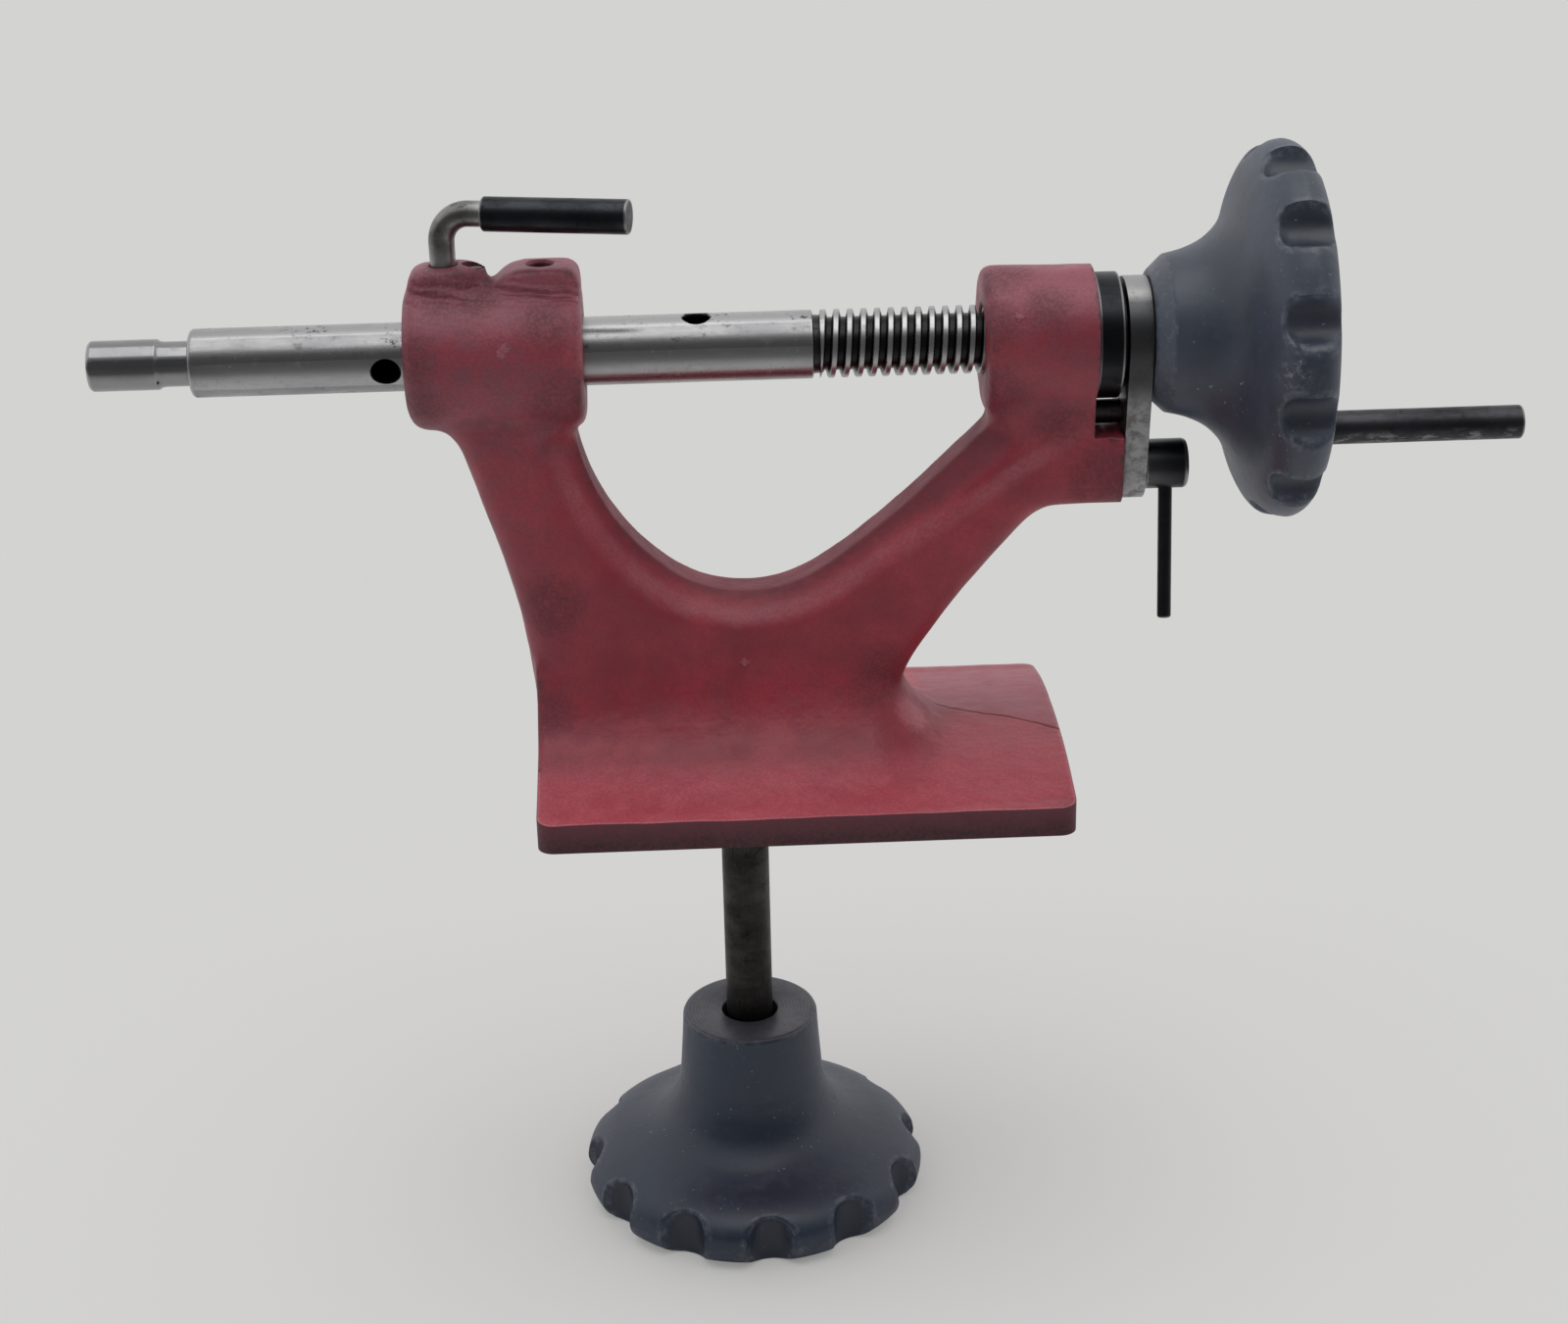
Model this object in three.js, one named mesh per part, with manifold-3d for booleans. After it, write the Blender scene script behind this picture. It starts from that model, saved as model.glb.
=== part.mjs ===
// Lathe tailstock with a screw-fed quill, on a clamp stud with a scalloped knob.
// Millimetres, +Z up. Origin: on the base's machined underside, under the spindle axis.
// +X runs along the quill from its nose to the handwheel.
import * as THREE from 'three';
import { mergeVertices } from 'three/addons/utils/BufferGeometryUtils.js';
import Module from 'manifold-3d';

const wasm = await Module();
wasm.setup();

// ---- Fits ----
const GAP = 0.3; // between faces that touch or seat
const RUNNING = 0.4; // radial clearance of a turning or sliding pair

// ---- Driving dimensions ----
const SPINDLE_HEIGHT = 136.6;
const BASE = { length: 159.4, shift: -0.8, halfDepth: 54.4, edge: 8.3, crest: 15.8, cornerRadius: 5 };
const WEB = { thickness: 28, edgeRound: 8, neckDrop: 6.4, neckLead: 1.9, neckRise: 6 };
const THROAT = { // a round bottom that opens into a wider side arc, and a hollow slope up the arm
  x: -15.5, lift: 61.8, lip: 4.6, roundShare: 0.78, sideTurn: 39.5, slope: 32, ease: 0.418, armDrop: 2.7,
};
const LEG = { footStraight: 15, bendRadius: 230, lean: 16.8 };
const ARM = {
  footInset: 50.1, footZ: 20, bend: 8.3, bendZ: 44.1, slope: 55.8, ease: 0.335, top: 16.8, fillet: 4.9,
};
const FOOT = { filletTop: 44, filletInset: 1.5, filletWaist: 18, toeMargin: 6, endSquash: 0.8 };
const FRONT_BARREL = { overhang: 32.6, length: 51.6, radius: 21.6, noseRound: 5, throatRound: 2.4 };
const REAR_BARREL = { inset: 23.8, length: 32, radius: 21.5, taper: 0.5, edgeRound: 2 };
const BOSS = { bottom: 86.5, overhang: 8.9, stepZ: 109.3 };
const LUG = { height: 27.4, radius: 8.4, topRound: 2.5, inset: 7.3, screwSpan: 8.6, offset: 3.4 };
const LUG_PAD = { inset: 1.9, drop: 0.6, round: 5.5, halfDepth: 8.2 };
const OIL_LUG = {
  length: 23.8, drop: 0.6, round: 4.6, notch: 0.2, shoulder: 8, halfDepth: 8.5, holeInset: 11.5, holeRadius: 3.7,
};
const QUILL = { radius: 10, reach: 62.4, tail: 16.9, chamfer: 1, bore: 5, socketDepth: 42 };
const THREAD = { shown: 47.8, reliefWidth: 2.2, reliefDepth: 1.7 };
const DRIFT_HOLES = { radius: 4, first: 5.5, firstTilt: -10, second: 33, secondTilt: 82 };
const NOSE = { radius: 7.4, length: 20.2, neckRadius: 6.6, step: 2.3, reach: 29.7, shankTaper: 0.9, chamfer: 0.8 };
const KEY = { width: 5, length: 28, intoCasting: 2.6, intoQuill: 2.6 };
const TRAVEL = { forward: 30, back: 45 };
const NUT = { flangeRadius: 18.5, flange: 7.5, journal: 25, bodyRadius: 13, threadedEnd: 6, endRadius: 12.3 };
const WASHER = { radius: 15.2, thickness: 0.8 };
const KEEPER = { thickness: 7.2, upperRadius: 17.2, lowerRadius: 9.9 };
const DOWEL = { radius: 3.6, dropFromSpindle: 23.4, intoCasting: 10 };
const CLAMP = { drop: 40.4, headRadius: 7.45, headLength: 13, shankRadius: 4.9, shankLength: 32 };
const CLAMP_BAR = { radius: 2.1, length: 47.5, offset: 6.9, swing: 8.6 };
const RIM = { radius: 55.56, plane: 38.6, round: 7.6, face: 14.5, floor: 20.5, floorDepth: 13 };
const FLANK = { // distance behind the rim's plane, and height as a share of the way from hub to rim
  behind: [27.4, 21.2, 16.2, 13.2, 10.6, 7.6, 4],
  share: [0.05, 0.145, 0.303, 0.493, 0.722, 0.883, 0.972],
};
const HUB = { faceRadius: 18.8, chamfer: 4.4, radius: 23.2, chamferEnd: 4.9, bossRadius: 20, bossRecess: 8 };
const NOTCH = {
  count: 12, radius: 7.4, depth: 6.8, roundedFrom: 33.9, overrun: 3, phaseWheel: 11.7, phaseKnob: -4,
};
const WHEEL_KEY = { width: 4, intoNut: 1.4, intoWheel: 2.4, length: 18, start: 8 };
const RING_NUT = { radius: 17.5, thickness: 5.5 };
const HANDLE = { radius: 5.15, inset: 17.56, swing: 21, length: 89.6, depth: 4.5 };
const LEVER = { radius: 3.75, height: 42.2, bendRadius: 8.5, turn: 12, foot: 14.2, reachIntoGrip: 18 };
const GRIP = { radius: 5, start: 12.8, length: 42.9, chamfer: 0.8 };
const PAD = { radius: 3.5 };
const GRUB = { radius: 3, length: 8, recess: 1.6, slotWidth: 1, slotDepth: 1.6 };
const STUD = { x: -18.7, shankRadius: 7.45, threadRadius: 7.95, intoCasting: 30, bottom: -138.5, threadTop: -94 };
const KNOB = { hubTop: -85.9, hubExtra: 17.5, topRadius: 21.7, topRound: 1.2, bore: 8.9 };
const BUSH = { radius: 12, length: 28 };

// ---- Facets ----
const FINE = 36;
const ROUND = 24;
const SMALL = 12;

// ---- Values worked out from the driving dimensions ----
const H = SPINDLE_HEIGHT;
const BASE_RIGHT = BASE.length / 2 + BASE.shift;
const BASE_LEFT = BASE_RIGHT - BASE.length;
const FRONT_LEFT = BASE_LEFT - FRONT_BARREL.overhang;
const FRONT_RIGHT = FRONT_LEFT + FRONT_BARREL.length;
const REAR_LEFT = BASE_RIGHT - REAR_BARREL.inset;
const REAR_FACE = REAR_LEFT + REAR_BARREL.length;
const BOSS_FACE = REAR_FACE + BOSS.overhang;
const NUT_LEFT = REAR_FACE + GAP;
const WASHER_LEFT = NUT_LEFT + NUT.flange + GAP;
const KEEPER_LEFT = BOSS_FACE + GAP;
const KEEPER_RIGHT = KEEPER_LEFT + KEEPER.thickness;
const WHEEL_FACE = KEEPER_RIGHT + GAP;
const CLAMP_Z = H - CLAMP.drop;
const LUG_X = FRONT_LEFT + LUG.radius + LUG.inset;
const LEVER_X = LUG_X - LUG.offset;
const GRUB_X = LEVER_X + LUG.screwSpan;
const OIL_LEFT = FRONT_RIGHT - OIL_LUG.length;
const QUILL_LEFT = FRONT_LEFT - QUILL.reach;
const QUILL_RIGHT = REAR_FACE + QUILL.tail;
const THREAD_START = REAR_LEFT - THREAD.shown;
const KEY_LEFT = (FRONT_LEFT + FRONT_RIGHT - KEY.length) / 2;
const KEY_RIGHT = KEY_LEFT + KEY.length;
const THROAT_SPAN = THROAT.x + THROAT.lip - FRONT_RIGHT;
const THROAT_RADIUS = THROAT.roundShare * THROAT_SPAN;
const ARM_FOOT = BASE_RIGHT - ARM.footInset;
const RIM_OUTER = RIM.plane + RIM.round;
const BOSS_END = RIM_OUTER - HUB.bossRecess;
const WHEEL_FLOOR = RIM_OUTER - RIM.floorDepth;
const HANDLE_ORBIT = RIM.radius - HANDLE.inset;
const UNIT_X = new THREE.Vector3(1, 0, 0);
const UNIT_Z = new THREE.Vector3(0, 0, 1);
const radians = THREE.MathUtils.degToRad;

// ---- Modelling helpers ----
function toSolid(geometry) {
  geometry.deleteAttribute('normal');
  geometry.deleteAttribute('uv');
  const merged = mergeVertices(geometry, 1e-4);
  return new wasm.Manifold(new wasm.Mesh({
    numProp: 3,
    vertProperties: new Float32Array(merged.attributes.position.array),
    triVerts: new Uint32Array(merged.index.array),
  }));
}

function toGeometry(solid) {
  const mesh = solid.getMesh();
  const geometry = new THREE.BufferGeometry();
  geometry.setAttribute('position', new THREE.BufferAttribute(mesh.vertProperties, 3));
  geometry.setIndex(new THREE.BufferAttribute(mesh.triVerts, 1));
  geometry.computeVertexNormals();
  return geometry;
}

function union(...solids) {
  return solids.reduce((whole, next) => whole.add(next));
}

function cut(solid, ...tools) {
  return tools.reduce((left, tool) => left.subtract(tool), solid);
}

// A body of revolution about `axis` through `centre`. The profile lists [along, radius] with `along` rising.
function turned(profile, axis, centre, segments = ROUND) {
  const points = profile.map(([along, radius]) => new THREE.Vector2(radius, along));
  const geometry = new THREE.LatheGeometry(points, segments);
  const turn = new THREE.Quaternion().setFromUnitVectors(new THREE.Vector3(0, 1, 0), axis);
  geometry.applyQuaternion(turn);
  geometry.translate(centre.x, centre.y, centre.z);
  return toSolid(geometry);
}

function rod(radius, from, to, axis, centre, segments = ROUND) {
  return turned([[from, 0], [from, radius], [to, radius], [to, 0]], axis, centre, segments);
}

// A quarter arc in a profile, from angle `from` to `to` in degrees, as [along, radius] pairs.
function arc(along, radius, size, from, to, steps = 4) {
  return Array.from({ length: steps + 1 }, (_, i) => {
    const angle = radians(from + ((to - from) * i) / steps);
    return [along + size * Math.cos(angle), radius + size * Math.sin(angle)];
  });
}

function roundedRod(radius, from, to, edge, axis, centre, segments = ROUND, steps = 1) {
  const profile = [
    [from, 0],
    ...arc(from + edge, radius - edge, edge, 180, 90, steps),
    ...arc(to - edge, radius - edge, edge, 90, 0, steps),
    [to, 0],
  ];
  return turned(profile, axis, centre, segments);
}

function box(low, high) {
  const size = high.map((value, i) => value - low[i]);
  const geometry = new THREE.BoxGeometry(...size);
  geometry.translate(low[0] + size[0] / 2, low[1] + size[1] / 2, low[2] + size[2] / 2);
  return toSolid(geometry);
}

// A shape drawn in X and Z, made `thickness` deep and centred on Y, with rounded edges.
function slabAlongY(shape, thickness, edge, curveSegments = 10, bevelSegments = 3) {
  const geometry = new THREE.ExtrudeGeometry(shape, {
    depth: thickness - 2 * edge,
    bevelEnabled: edge > 0,
    bevelThickness: edge,
    bevelSize: edge,
    bevelOffset: -edge,
    bevelSegments,
    curveSegments,
  });
  geometry.translate(0, 0, edge - thickness / 2);
  geometry.rotateX(Math.PI / 2);
  return toSolid(geometry);
}

// A shape drawn in Y and Z, run along X between two places, with rounded ends.
function barAlongX(shape, from, to, edge = 0, curveSegments = 12) {
  const geometry = new THREE.ExtrudeGeometry(shape, {
    depth: to - from - 2 * edge,
    bevelEnabled: edge > 0,
    bevelThickness: edge,
    bevelSize: edge,
    bevelOffset: -edge,
    bevelSegments: 1,
    curveSegments,
  });
  const axes = new THREE.Matrix4().makeBasis(
    new THREE.Vector3(0, 1, 0),
    new THREE.Vector3(0, 0, 1),
    UNIT_X,
  );
  geometry.applyMatrix4(axes);
  geometry.translate(from + edge, 0, 0);
  return toSolid(geometry);
}

const spindle = new THREE.Vector3(0, 0, H);
const group = new THREE.Group();
group.name = 'lathe_tailstock';

function addPart(name, solid, color, roughness, metalness) {
  const material = new THREE.MeshStandardMaterial({ color, roughness, metalness });
  const mesh = new THREE.Mesh(toGeometry(solid), material);
  mesh.name = name;
  group.add(mesh);
}

const RED_PAINT = [0x7a2f38, 0.45, 0.0];
const BLUE_PAINT = [0x262c38, 0.5, 0.1];
const TURNED_STEEL = [0x8d8d8c, 0.3, 1.0];
const POLISHED_STEEL = [0xb5b5b4, 0.12, 1.0];
const BLACK_STEEL = [0x26282a, 0.4, 0.9];
const GREY_STEEL = [0x6b6a68, 0.5, 0.9];
const BRASS = [0xa5854c, 0.35, 1.0];

// ---- Casting: crowned base, blended web with its U throat, two barrels, rear boss and two lugs ----
function basePlate() {
  const top = BASE.crest - BASE.edge;
  const crown = new THREE.Shape();
  crown.moveTo(-BASE.halfDepth, 0);
  crown.lineTo(BASE.halfDepth, 0);
  crown.lineTo(BASE.halfDepth, BASE.edge);
  crown.quadraticCurveTo(0, BASE.edge + 2 * top, -BASE.halfDepth, BASE.edge);
  crown.closePath();
  const plan = new THREE.Shape();
  const r = BASE.cornerRadius;
  const right = BASE_RIGHT - r;
  const left = BASE_LEFT + r;
  const back = BASE.halfDepth - r;
  plan.moveTo(left, -BASE.halfDepth);
  plan.absarc(right, -back, r, -Math.PI / 2, 0);
  plan.absarc(right, back, r, 0, Math.PI / 2);
  plan.absarc(left, back, r, Math.PI / 2, Math.PI);
  plan.absarc(left, -back, r, Math.PI, Math.PI * 1.5);
  const column = new THREE.ExtrudeGeometry(plan, { depth: 2 * BASE.crest, bevelEnabled: false, curveSegments: 5 });
  return barAlongX(crown, BASE_LEFT, BASE_RIGHT).intersect(toSolid(column));
}

function webOutline() {
  const shape = new THREE.Shape();
  const insideBarrel = H + 2;
  const beyondBoss = BOSS_FACE + WEB.edgeRound + 1;
  // the arm's underside, bending into the boss
  const armTan = Math.tan(radians(ARM.slope));
  const bendX = ARM_FOOT + ARM.bend;
  const topX = REAR_LEFT + ARM.top;
  const easeRun = ARM.ease * (topX - ARM.fillet - bendX);
  shape.moveTo(BASE_LEFT, BASE.edge / 2);
  shape.lineTo(ARM_FOOT, BASE.edge / 2);
  shape.lineTo(ARM_FOOT, ARM.footZ);
  shape.quadraticCurveTo(ARM_FOOT, ARM.bendZ - ARM.bend * armTan, bendX, ARM.bendZ);
  shape.quadraticCurveTo(
    bendX + easeRun, ARM.bendZ + easeRun * armTan, topX - ARM.fillet, BOSS.bottom - 1.1 * ARM.fillet,
  );
  shape.quadraticCurveTo(topX, BOSS.bottom, topX + ARM.fillet, BOSS.bottom);
  shape.lineTo(beyondBoss, BOSS.bottom);
  shape.lineTo(beyondBoss, insideBarrel);
  // the throat
  const slope = radians(THROAT.slope);
  const turn = radians(THROAT.sideTurn);
  const sideRadius = (THROAT_SPAN - THROAT_RADIUS * Math.sin(turn)) / (1 - Math.sin(turn));
  const between = sideRadius - THROAT_RADIUS;
  const throatZ = THROAT.lift + THROAT_RADIUS;
  const slopeX = THROAT.x + THROAT_RADIUS * Math.sin(slope);
  const slopeZ = throatZ - THROAT_RADIUS * Math.cos(slope);
  const armTopX = REAR_LEFT + REAR_BARREL.edgeRound;
  const rise = THROAT.ease * (armTopX - slopeX);
  shape.lineTo(armTopX, insideBarrel);
  shape.lineTo(armTopX, H - REAR_BARREL.radius - THROAT.armDrop);
  shape.quadraticCurveTo(slopeX + rise, slopeZ + rise * Math.tan(slope), slopeX, slopeZ);
  shape.absarc(THROAT.x, throatZ, THROAT_RADIUS, slope - Math.PI / 2, -turn - Math.PI / 2, true);
  shape.absarc(
    THROAT.x + between * Math.sin(turn), throatZ + between * Math.cos(turn),
    sideRadius, -turn - Math.PI / 2, -Math.PI, true,
  );
  shape.lineTo(FRONT_RIGHT - THROAT.lip, insideBarrel);
  // the neck under the front barrel and the leaning front leg
  const lean = radians(LEG.lean);
  const legX = BASE_LEFT - LEG.bendRadius * (1 - Math.cos(lean));
  const legZ = LEG.footStraight + LEG.bendRadius * Math.sin(lean);
  const neckZ = H - FRONT_BARREL.radius - WEB.neckDrop;
  const neckX = legX - (neckZ - legZ) * Math.tan(lean);
  const neckTop = neckZ + WEB.neckRise + 2 * WEB.neckLead;
  shape.lineTo(FRONT_LEFT + WEB.neckRise, insideBarrel);
  shape.lineTo(FRONT_LEFT + WEB.neckRise, neckTop);
  shape.quadraticCurveTo(neckX - WEB.neckLead, neckZ + WEB.neckRise, neckX, neckZ);
  shape.lineTo(legX, legZ);
  shape.absarc(BASE_LEFT - LEG.bendRadius, LEG.footStraight, LEG.bendRadius, lean, 0, true);
  shape.closePath();
  return shape;
}

// The web spreads into the base by a wide concave fillet, straight along the web and round at its rear end.
function footProfile() {
  const half = WEB.thickness / 2;
  const toe = BASE.halfDepth - FOOT.toeMargin;
  const toeZ = BASE.edge + (BASE.crest - BASE.edge) * (1 - (toe / BASE.halfDepth) ** 2) - 0.3;
  const curve = new THREE.QuadraticBezierCurve(
    new THREE.Vector2(half, FOOT.filletTop),
    new THREE.Vector2(half + FOOT.filletInset, FOOT.filletWaist),
    new THREE.Vector2(toe, toeZ),
  );
  return curve.getPoints(8);
}

function foot() {
  const side = footProfile();
  const shape = new THREE.Shape();
  side.forEach((point, i) => (i === 0 ? shape.moveTo(point.x, point.y) : shape.lineTo(point.x, point.y)));
  shape.lineTo(BASE.halfDepth - FOOT.toeMargin, BASE.edge / 2);
  shape.lineTo(FOOT.toeMargin - BASE.halfDepth, BASE.edge / 2);
  [...side].reverse().forEach((point) => shape.lineTo(-point.x, point.y));
  shape.closePath();
  const endX = ARM_FOOT - (WEB.thickness / 2) * FOOT.endSquash;
  const straight = barAlongX(shape, BASE_LEFT, endX, 0);
  const profile = [
    [BASE.edge / 2, 0],
    [BASE.edge / 2, BASE.halfDepth - FOOT.toeMargin],
    ...[...side].reverse().map((point) => [point.y, point.x]),
    [FOOT.filletTop, 0],
  ];
  const bell = turned(profile, UNIT_Z, new THREE.Vector3(0, 0, 0), FINE);
  const end = bell.scale([FOOT.endSquash, 1, 1]).translate([endX, 0, 0]);
  return union(straight, end);
}

function lugs() {
  const top = H + LUG.height;
  const lever = roundedRod(LUG.radius, H, top, LUG.topRound, UNIT_Z, new THREE.Vector3(LUG_X, 0, 0), ROUND, 3);
  const leftEnd = FRONT_LEFT + LUG_PAD.inset;
  const leftTop = top - LUG_PAD.drop;
  const pad = new THREE.Shape();
  pad.moveTo(LUG_X, H);
  pad.lineTo(LUG_X, leftTop);
  pad.lineTo(leftEnd + LUG_PAD.round, leftTop);
  pad.quadraticCurveTo(leftEnd, leftTop, leftEnd, leftTop - LUG_PAD.round);
  pad.lineTo(leftEnd, H);
  pad.closePath();
  const notchX = (OIL_LEFT + LUG_X + LUG.radius) / 2;
  const notchZ = H + FRONT_BARREL.radius - OIL_LUG.notch;
  const saddleTop = top - OIL_LUG.drop;
  const saddle = new THREE.Shape();
  saddle.moveTo(LUG_X, H);
  saddle.lineTo(FRONT_RIGHT, H);
  saddle.lineTo(FRONT_RIGHT, saddleTop - OIL_LUG.round);
  saddle.quadraticCurveTo(FRONT_RIGHT, saddleTop, FRONT_RIGHT - OIL_LUG.round, saddleTop);
  saddle.lineTo(OIL_LEFT + OIL_LUG.shoulder, saddleTop);
  saddle.quadraticCurveTo(OIL_LEFT + 1, saddleTop - 0.5, notchX + 0.6, notchZ);
  saddle.lineTo(LUG_X, notchZ);
  saddle.closePath();
  return union(
    lever,
    slabAlongY(pad, 2 * LUG_PAD.halfDepth, LUG.topRound, 6),
    slabAlongY(saddle, 2 * OIL_LUG.halfDepth, LUG.topRound, 6),
  );
}

function tailstockCasting() {
  const { noseRound, throatRound } = FRONT_BARREL;
  const front = turned([
    [FRONT_LEFT, 0],
    ...arc(FRONT_LEFT + noseRound, FRONT_BARREL.radius - noseRound, noseRound, 180, 90, 3),
    ...arc(FRONT_RIGHT - throatRound, FRONT_BARREL.radius - throatRound, throatRound, 90, 0, 2),
    [FRONT_RIGHT, 0],
  ], UNIT_X, spindle, FINE);
  const edge = REAR_BARREL.edgeRound;
  const rear = turned([
    [REAR_LEFT, 0],
    ...arc(REAR_LEFT + edge, REAR_BARREL.radius - edge, edge, 180, 90, 3),
    [REAR_FACE, REAR_BARREL.radius - REAR_BARREL.taper],
    [REAR_FACE, 0],
  ], UNIT_X, spindle, FINE);
  const web = slabAlongY(webOutline(), WEB.thickness, WEB.edgeRound, 8);
  const body = union(basePlate(), foot(), web, front, rear, lugs());
  const far = 60;
  const above = 2 * H;
  const beyondBoss = box([BOSS_FACE, -far, -1], [BOSS_FACE + far, far, above]);
  const aboveStep = box([REAR_FACE, -far, BOSS.stepZ], [BOSS_FACE + far, far, above]);
  const keptBase = box([-2 * H, -far, 0], [BASE_RIGHT, far, BASE.crest + 1]);
  const trimmed = union(cut(body, beyondBoss, aboveStep), body.intersect(keptBase));
  const slotBottom = H - QUILL.radius - GAP - KEY.intoCasting;
  const keySlot = box(
    [KEY_LEFT - GAP, -KEY.width / 2 - GAP, slotBottom - GAP],
    [KEY_RIGHT + GAP, KEY.width / 2 + GAP, H],
  );
  const leverAt = new THREE.Vector3(LEVER_X, 0, 0);
  const grubAt = new THREE.Vector3(GRUB_X, 0, 0);
  const oilAt = new THREE.Vector3(FRONT_RIGHT - OIL_LUG.holeInset, 0, 0);
  const dowelAt = new THREE.Vector3(0, 0, H - DOWEL.dropFromSpindle);
  const clampAt = new THREE.Vector3(0, 0, CLAMP_Z);
  const studAt = new THREE.Vector3(STUD.x, 0, 0);
  const nutSeat = REAR_FACE - NUT.journal - GAP;
  const lugTop = H + LUG.height;
  const grubSeat = lugTop - GRUB.recess - GRUB.length - GAP;
  return cut(
    trimmed,
    rod(QUILL.radius + GAP, FRONT_LEFT - 1, REAR_FACE + 1, UNIT_X, spindle),
    rod(NUT.bodyRadius + RUNNING, nutSeat, REAR_FACE + 1, UNIT_X, spindle),
    keySlot,
    rod(LEVER.radius + GAP, H, lugTop + 1, UNIT_Z, leverAt, SMALL),
    rod(GRUB.radius + GAP, grubSeat, lugTop + 1, UNIT_Z, grubAt, SMALL),
    rod(OIL_LUG.holeRadius, H, lugTop + 1, UNIT_Z, oilAt, SMALL),
    rod(DOWEL.radius + GAP, REAR_FACE - DOWEL.intoCasting - GAP, REAR_FACE + 1, UNIT_X, dowelAt, SMALL),
    rod(CLAMP.shankRadius + GAP, KEEPER_RIGHT - CLAMP.shankLength - 1, BOSS_FACE + 1, UNIT_X, clampAt, SMALL),
    rod(STUD.threadRadius + GAP, -1, STUD.intoCasting + GAP, UNIT_Z, studAt),
  );
}

// ---- Quill: turned bar with a socket, a through bore, drift holes, keyway and the threaded rear half ----
function quill() {
  const { radius, chamfer } = QUILL;
  const left = QUILL_LEFT;
  const right = QUILL_RIGHT;
  const relief = THREAD_START - THREAD.reliefWidth;
  const bar = turned([
    [left, 0],
    [left, radius - chamfer],
    [left + chamfer, radius],
    [relief, radius],
    [relief, radius - THREAD.reliefDepth],
    [THREAD_START, radius - THREAD.reliefDepth],
    [THREAD_START, radius],
    [right - 2 * chamfer, radius],
    [right, radius - 2 * chamfer],
    [right, 0],
  ], UNIT_X, spindle, FINE);
  const shankEnd = NOSE.neckRadius - NOSE.shankTaper;
  const socket = turned([
    [left - 1, 0],
    [left - 1, NOSE.neckRadius + GAP],
    [left + QUILL.socketDepth, shankEnd + GAP],
    [left + QUILL.socketDepth, 0],
  ], UNIT_X, spindle);
  const keyway = box(
    [KEY_LEFT - TRAVEL.back - 2, -KEY.width / 2 - GAP, H - QUILL.radius - 1],
    [KEY_RIGHT + TRAVEL.forward + 2, KEY.width / 2 + GAP, H - QUILL.radius + KEY.intoQuill + GAP],
  );
  const drift = (x, tilt) => {
    const away = new THREE.Vector3(0, -Math.cos(radians(tilt)), Math.sin(radians(tilt)));
    return rod(DRIFT_HOLES.radius, 0, radius + 1, away, new THREE.Vector3(x, 0, H), SMALL);
  };
  return cut(
    bar,
    socket,
    rod(QUILL.bore, left, right + 1, UNIT_X, spindle, SMALL),
    keyway,
    drift(FRONT_LEFT - DRIFT_HOLES.first, DRIFT_HOLES.firstTilt),
    drift(FRONT_RIGHT + DRIFT_HOLES.second, DRIFT_HOLES.secondTilt),
  );
}

function noseInsert() {
  const tip = QUILL_LEFT - NOSE.reach;
  const step = tip + NOSE.length;
  const end = QUILL_LEFT + QUILL.socketDepth - GAP;
  return turned([
    [tip, 0],
    [tip, NOSE.radius - NOSE.chamfer],
    [tip + NOSE.chamfer, NOSE.radius],
    [step, NOSE.radius],
    [step + NOSE.step / 3, NOSE.neckRadius + 0.25],
    [step + NOSE.step, NOSE.neckRadius],
    [QUILL_LEFT, NOSE.neckRadius],
    [end, NOSE.neckRadius - NOSE.shankTaper],
    [end, 0],
  ], UNIT_X, spindle);
}

function quillKey() {
  const bottom = H - QUILL.radius - GAP - KEY.intoCasting;
  return box(
    [KEY_LEFT, -KEY.width / 2, bottom],
    [KEY_RIGHT, KEY.width / 2, H - QUILL.radius + KEY.intoQuill],
  );
}

// ---- Feed: flanged screw nut, thrust washer, keeper plate, dowel and clamp screw ----
function wheelKeyBox(clearance) {
  const start = WHEEL_FACE + WHEEL_KEY.start;
  const inner = H + NUT.bodyRadius - WHEEL_KEY.intoNut;
  const outer = H + NUT.bodyRadius + GAP + WHEEL_KEY.intoWheel;
  const half = WHEEL_KEY.width / 2 + clearance;
  return box(
    [start - clearance, -half, inner - clearance],
    [start + WHEEL_KEY.length + clearance, half, outer + clearance],
  );
}

function screwNut() {
  const flangeEnd = NUT_LEFT + NUT.flange;
  const shoulder = WHEEL_FACE + BOSS_END;
  const body = turned([
    [REAR_FACE - NUT.journal, 0],
    [REAR_FACE - NUT.journal, NUT.bodyRadius],
    [NUT_LEFT, NUT.bodyRadius],
    [NUT_LEFT, NUT.flangeRadius - 0.5],
    [NUT_LEFT + 0.5, NUT.flangeRadius],
    [flangeEnd - 0.5, NUT.flangeRadius],
    [flangeEnd, NUT.flangeRadius - 0.5],
    [flangeEnd, NUT.bodyRadius],
    [shoulder - GAP, NUT.bodyRadius],
    [shoulder - GAP, NUT.endRadius],
    [shoulder + NUT.threadedEnd, NUT.endRadius],
    [shoulder + NUT.threadedEnd, 0],
  ], UNIT_X, spindle, FINE);
  const bore = rod(QUILL.radius + GAP, REAR_FACE - NUT.journal - 1, shoulder + NUT.threadedEnd + 1, UNIT_X, spindle);
  return cut(body, bore, wheelKeyBox(GAP));
}

function thrustWasher() {
  const right = WASHER_LEFT + WASHER.thickness;
  return cut(
    rod(WASHER.radius, WASHER_LEFT, right, UNIT_X, spindle),
    rod(NUT.bodyRadius + GAP, WASHER_LEFT - 1, right + 1, UNIT_X, spindle),
  );
}

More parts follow.
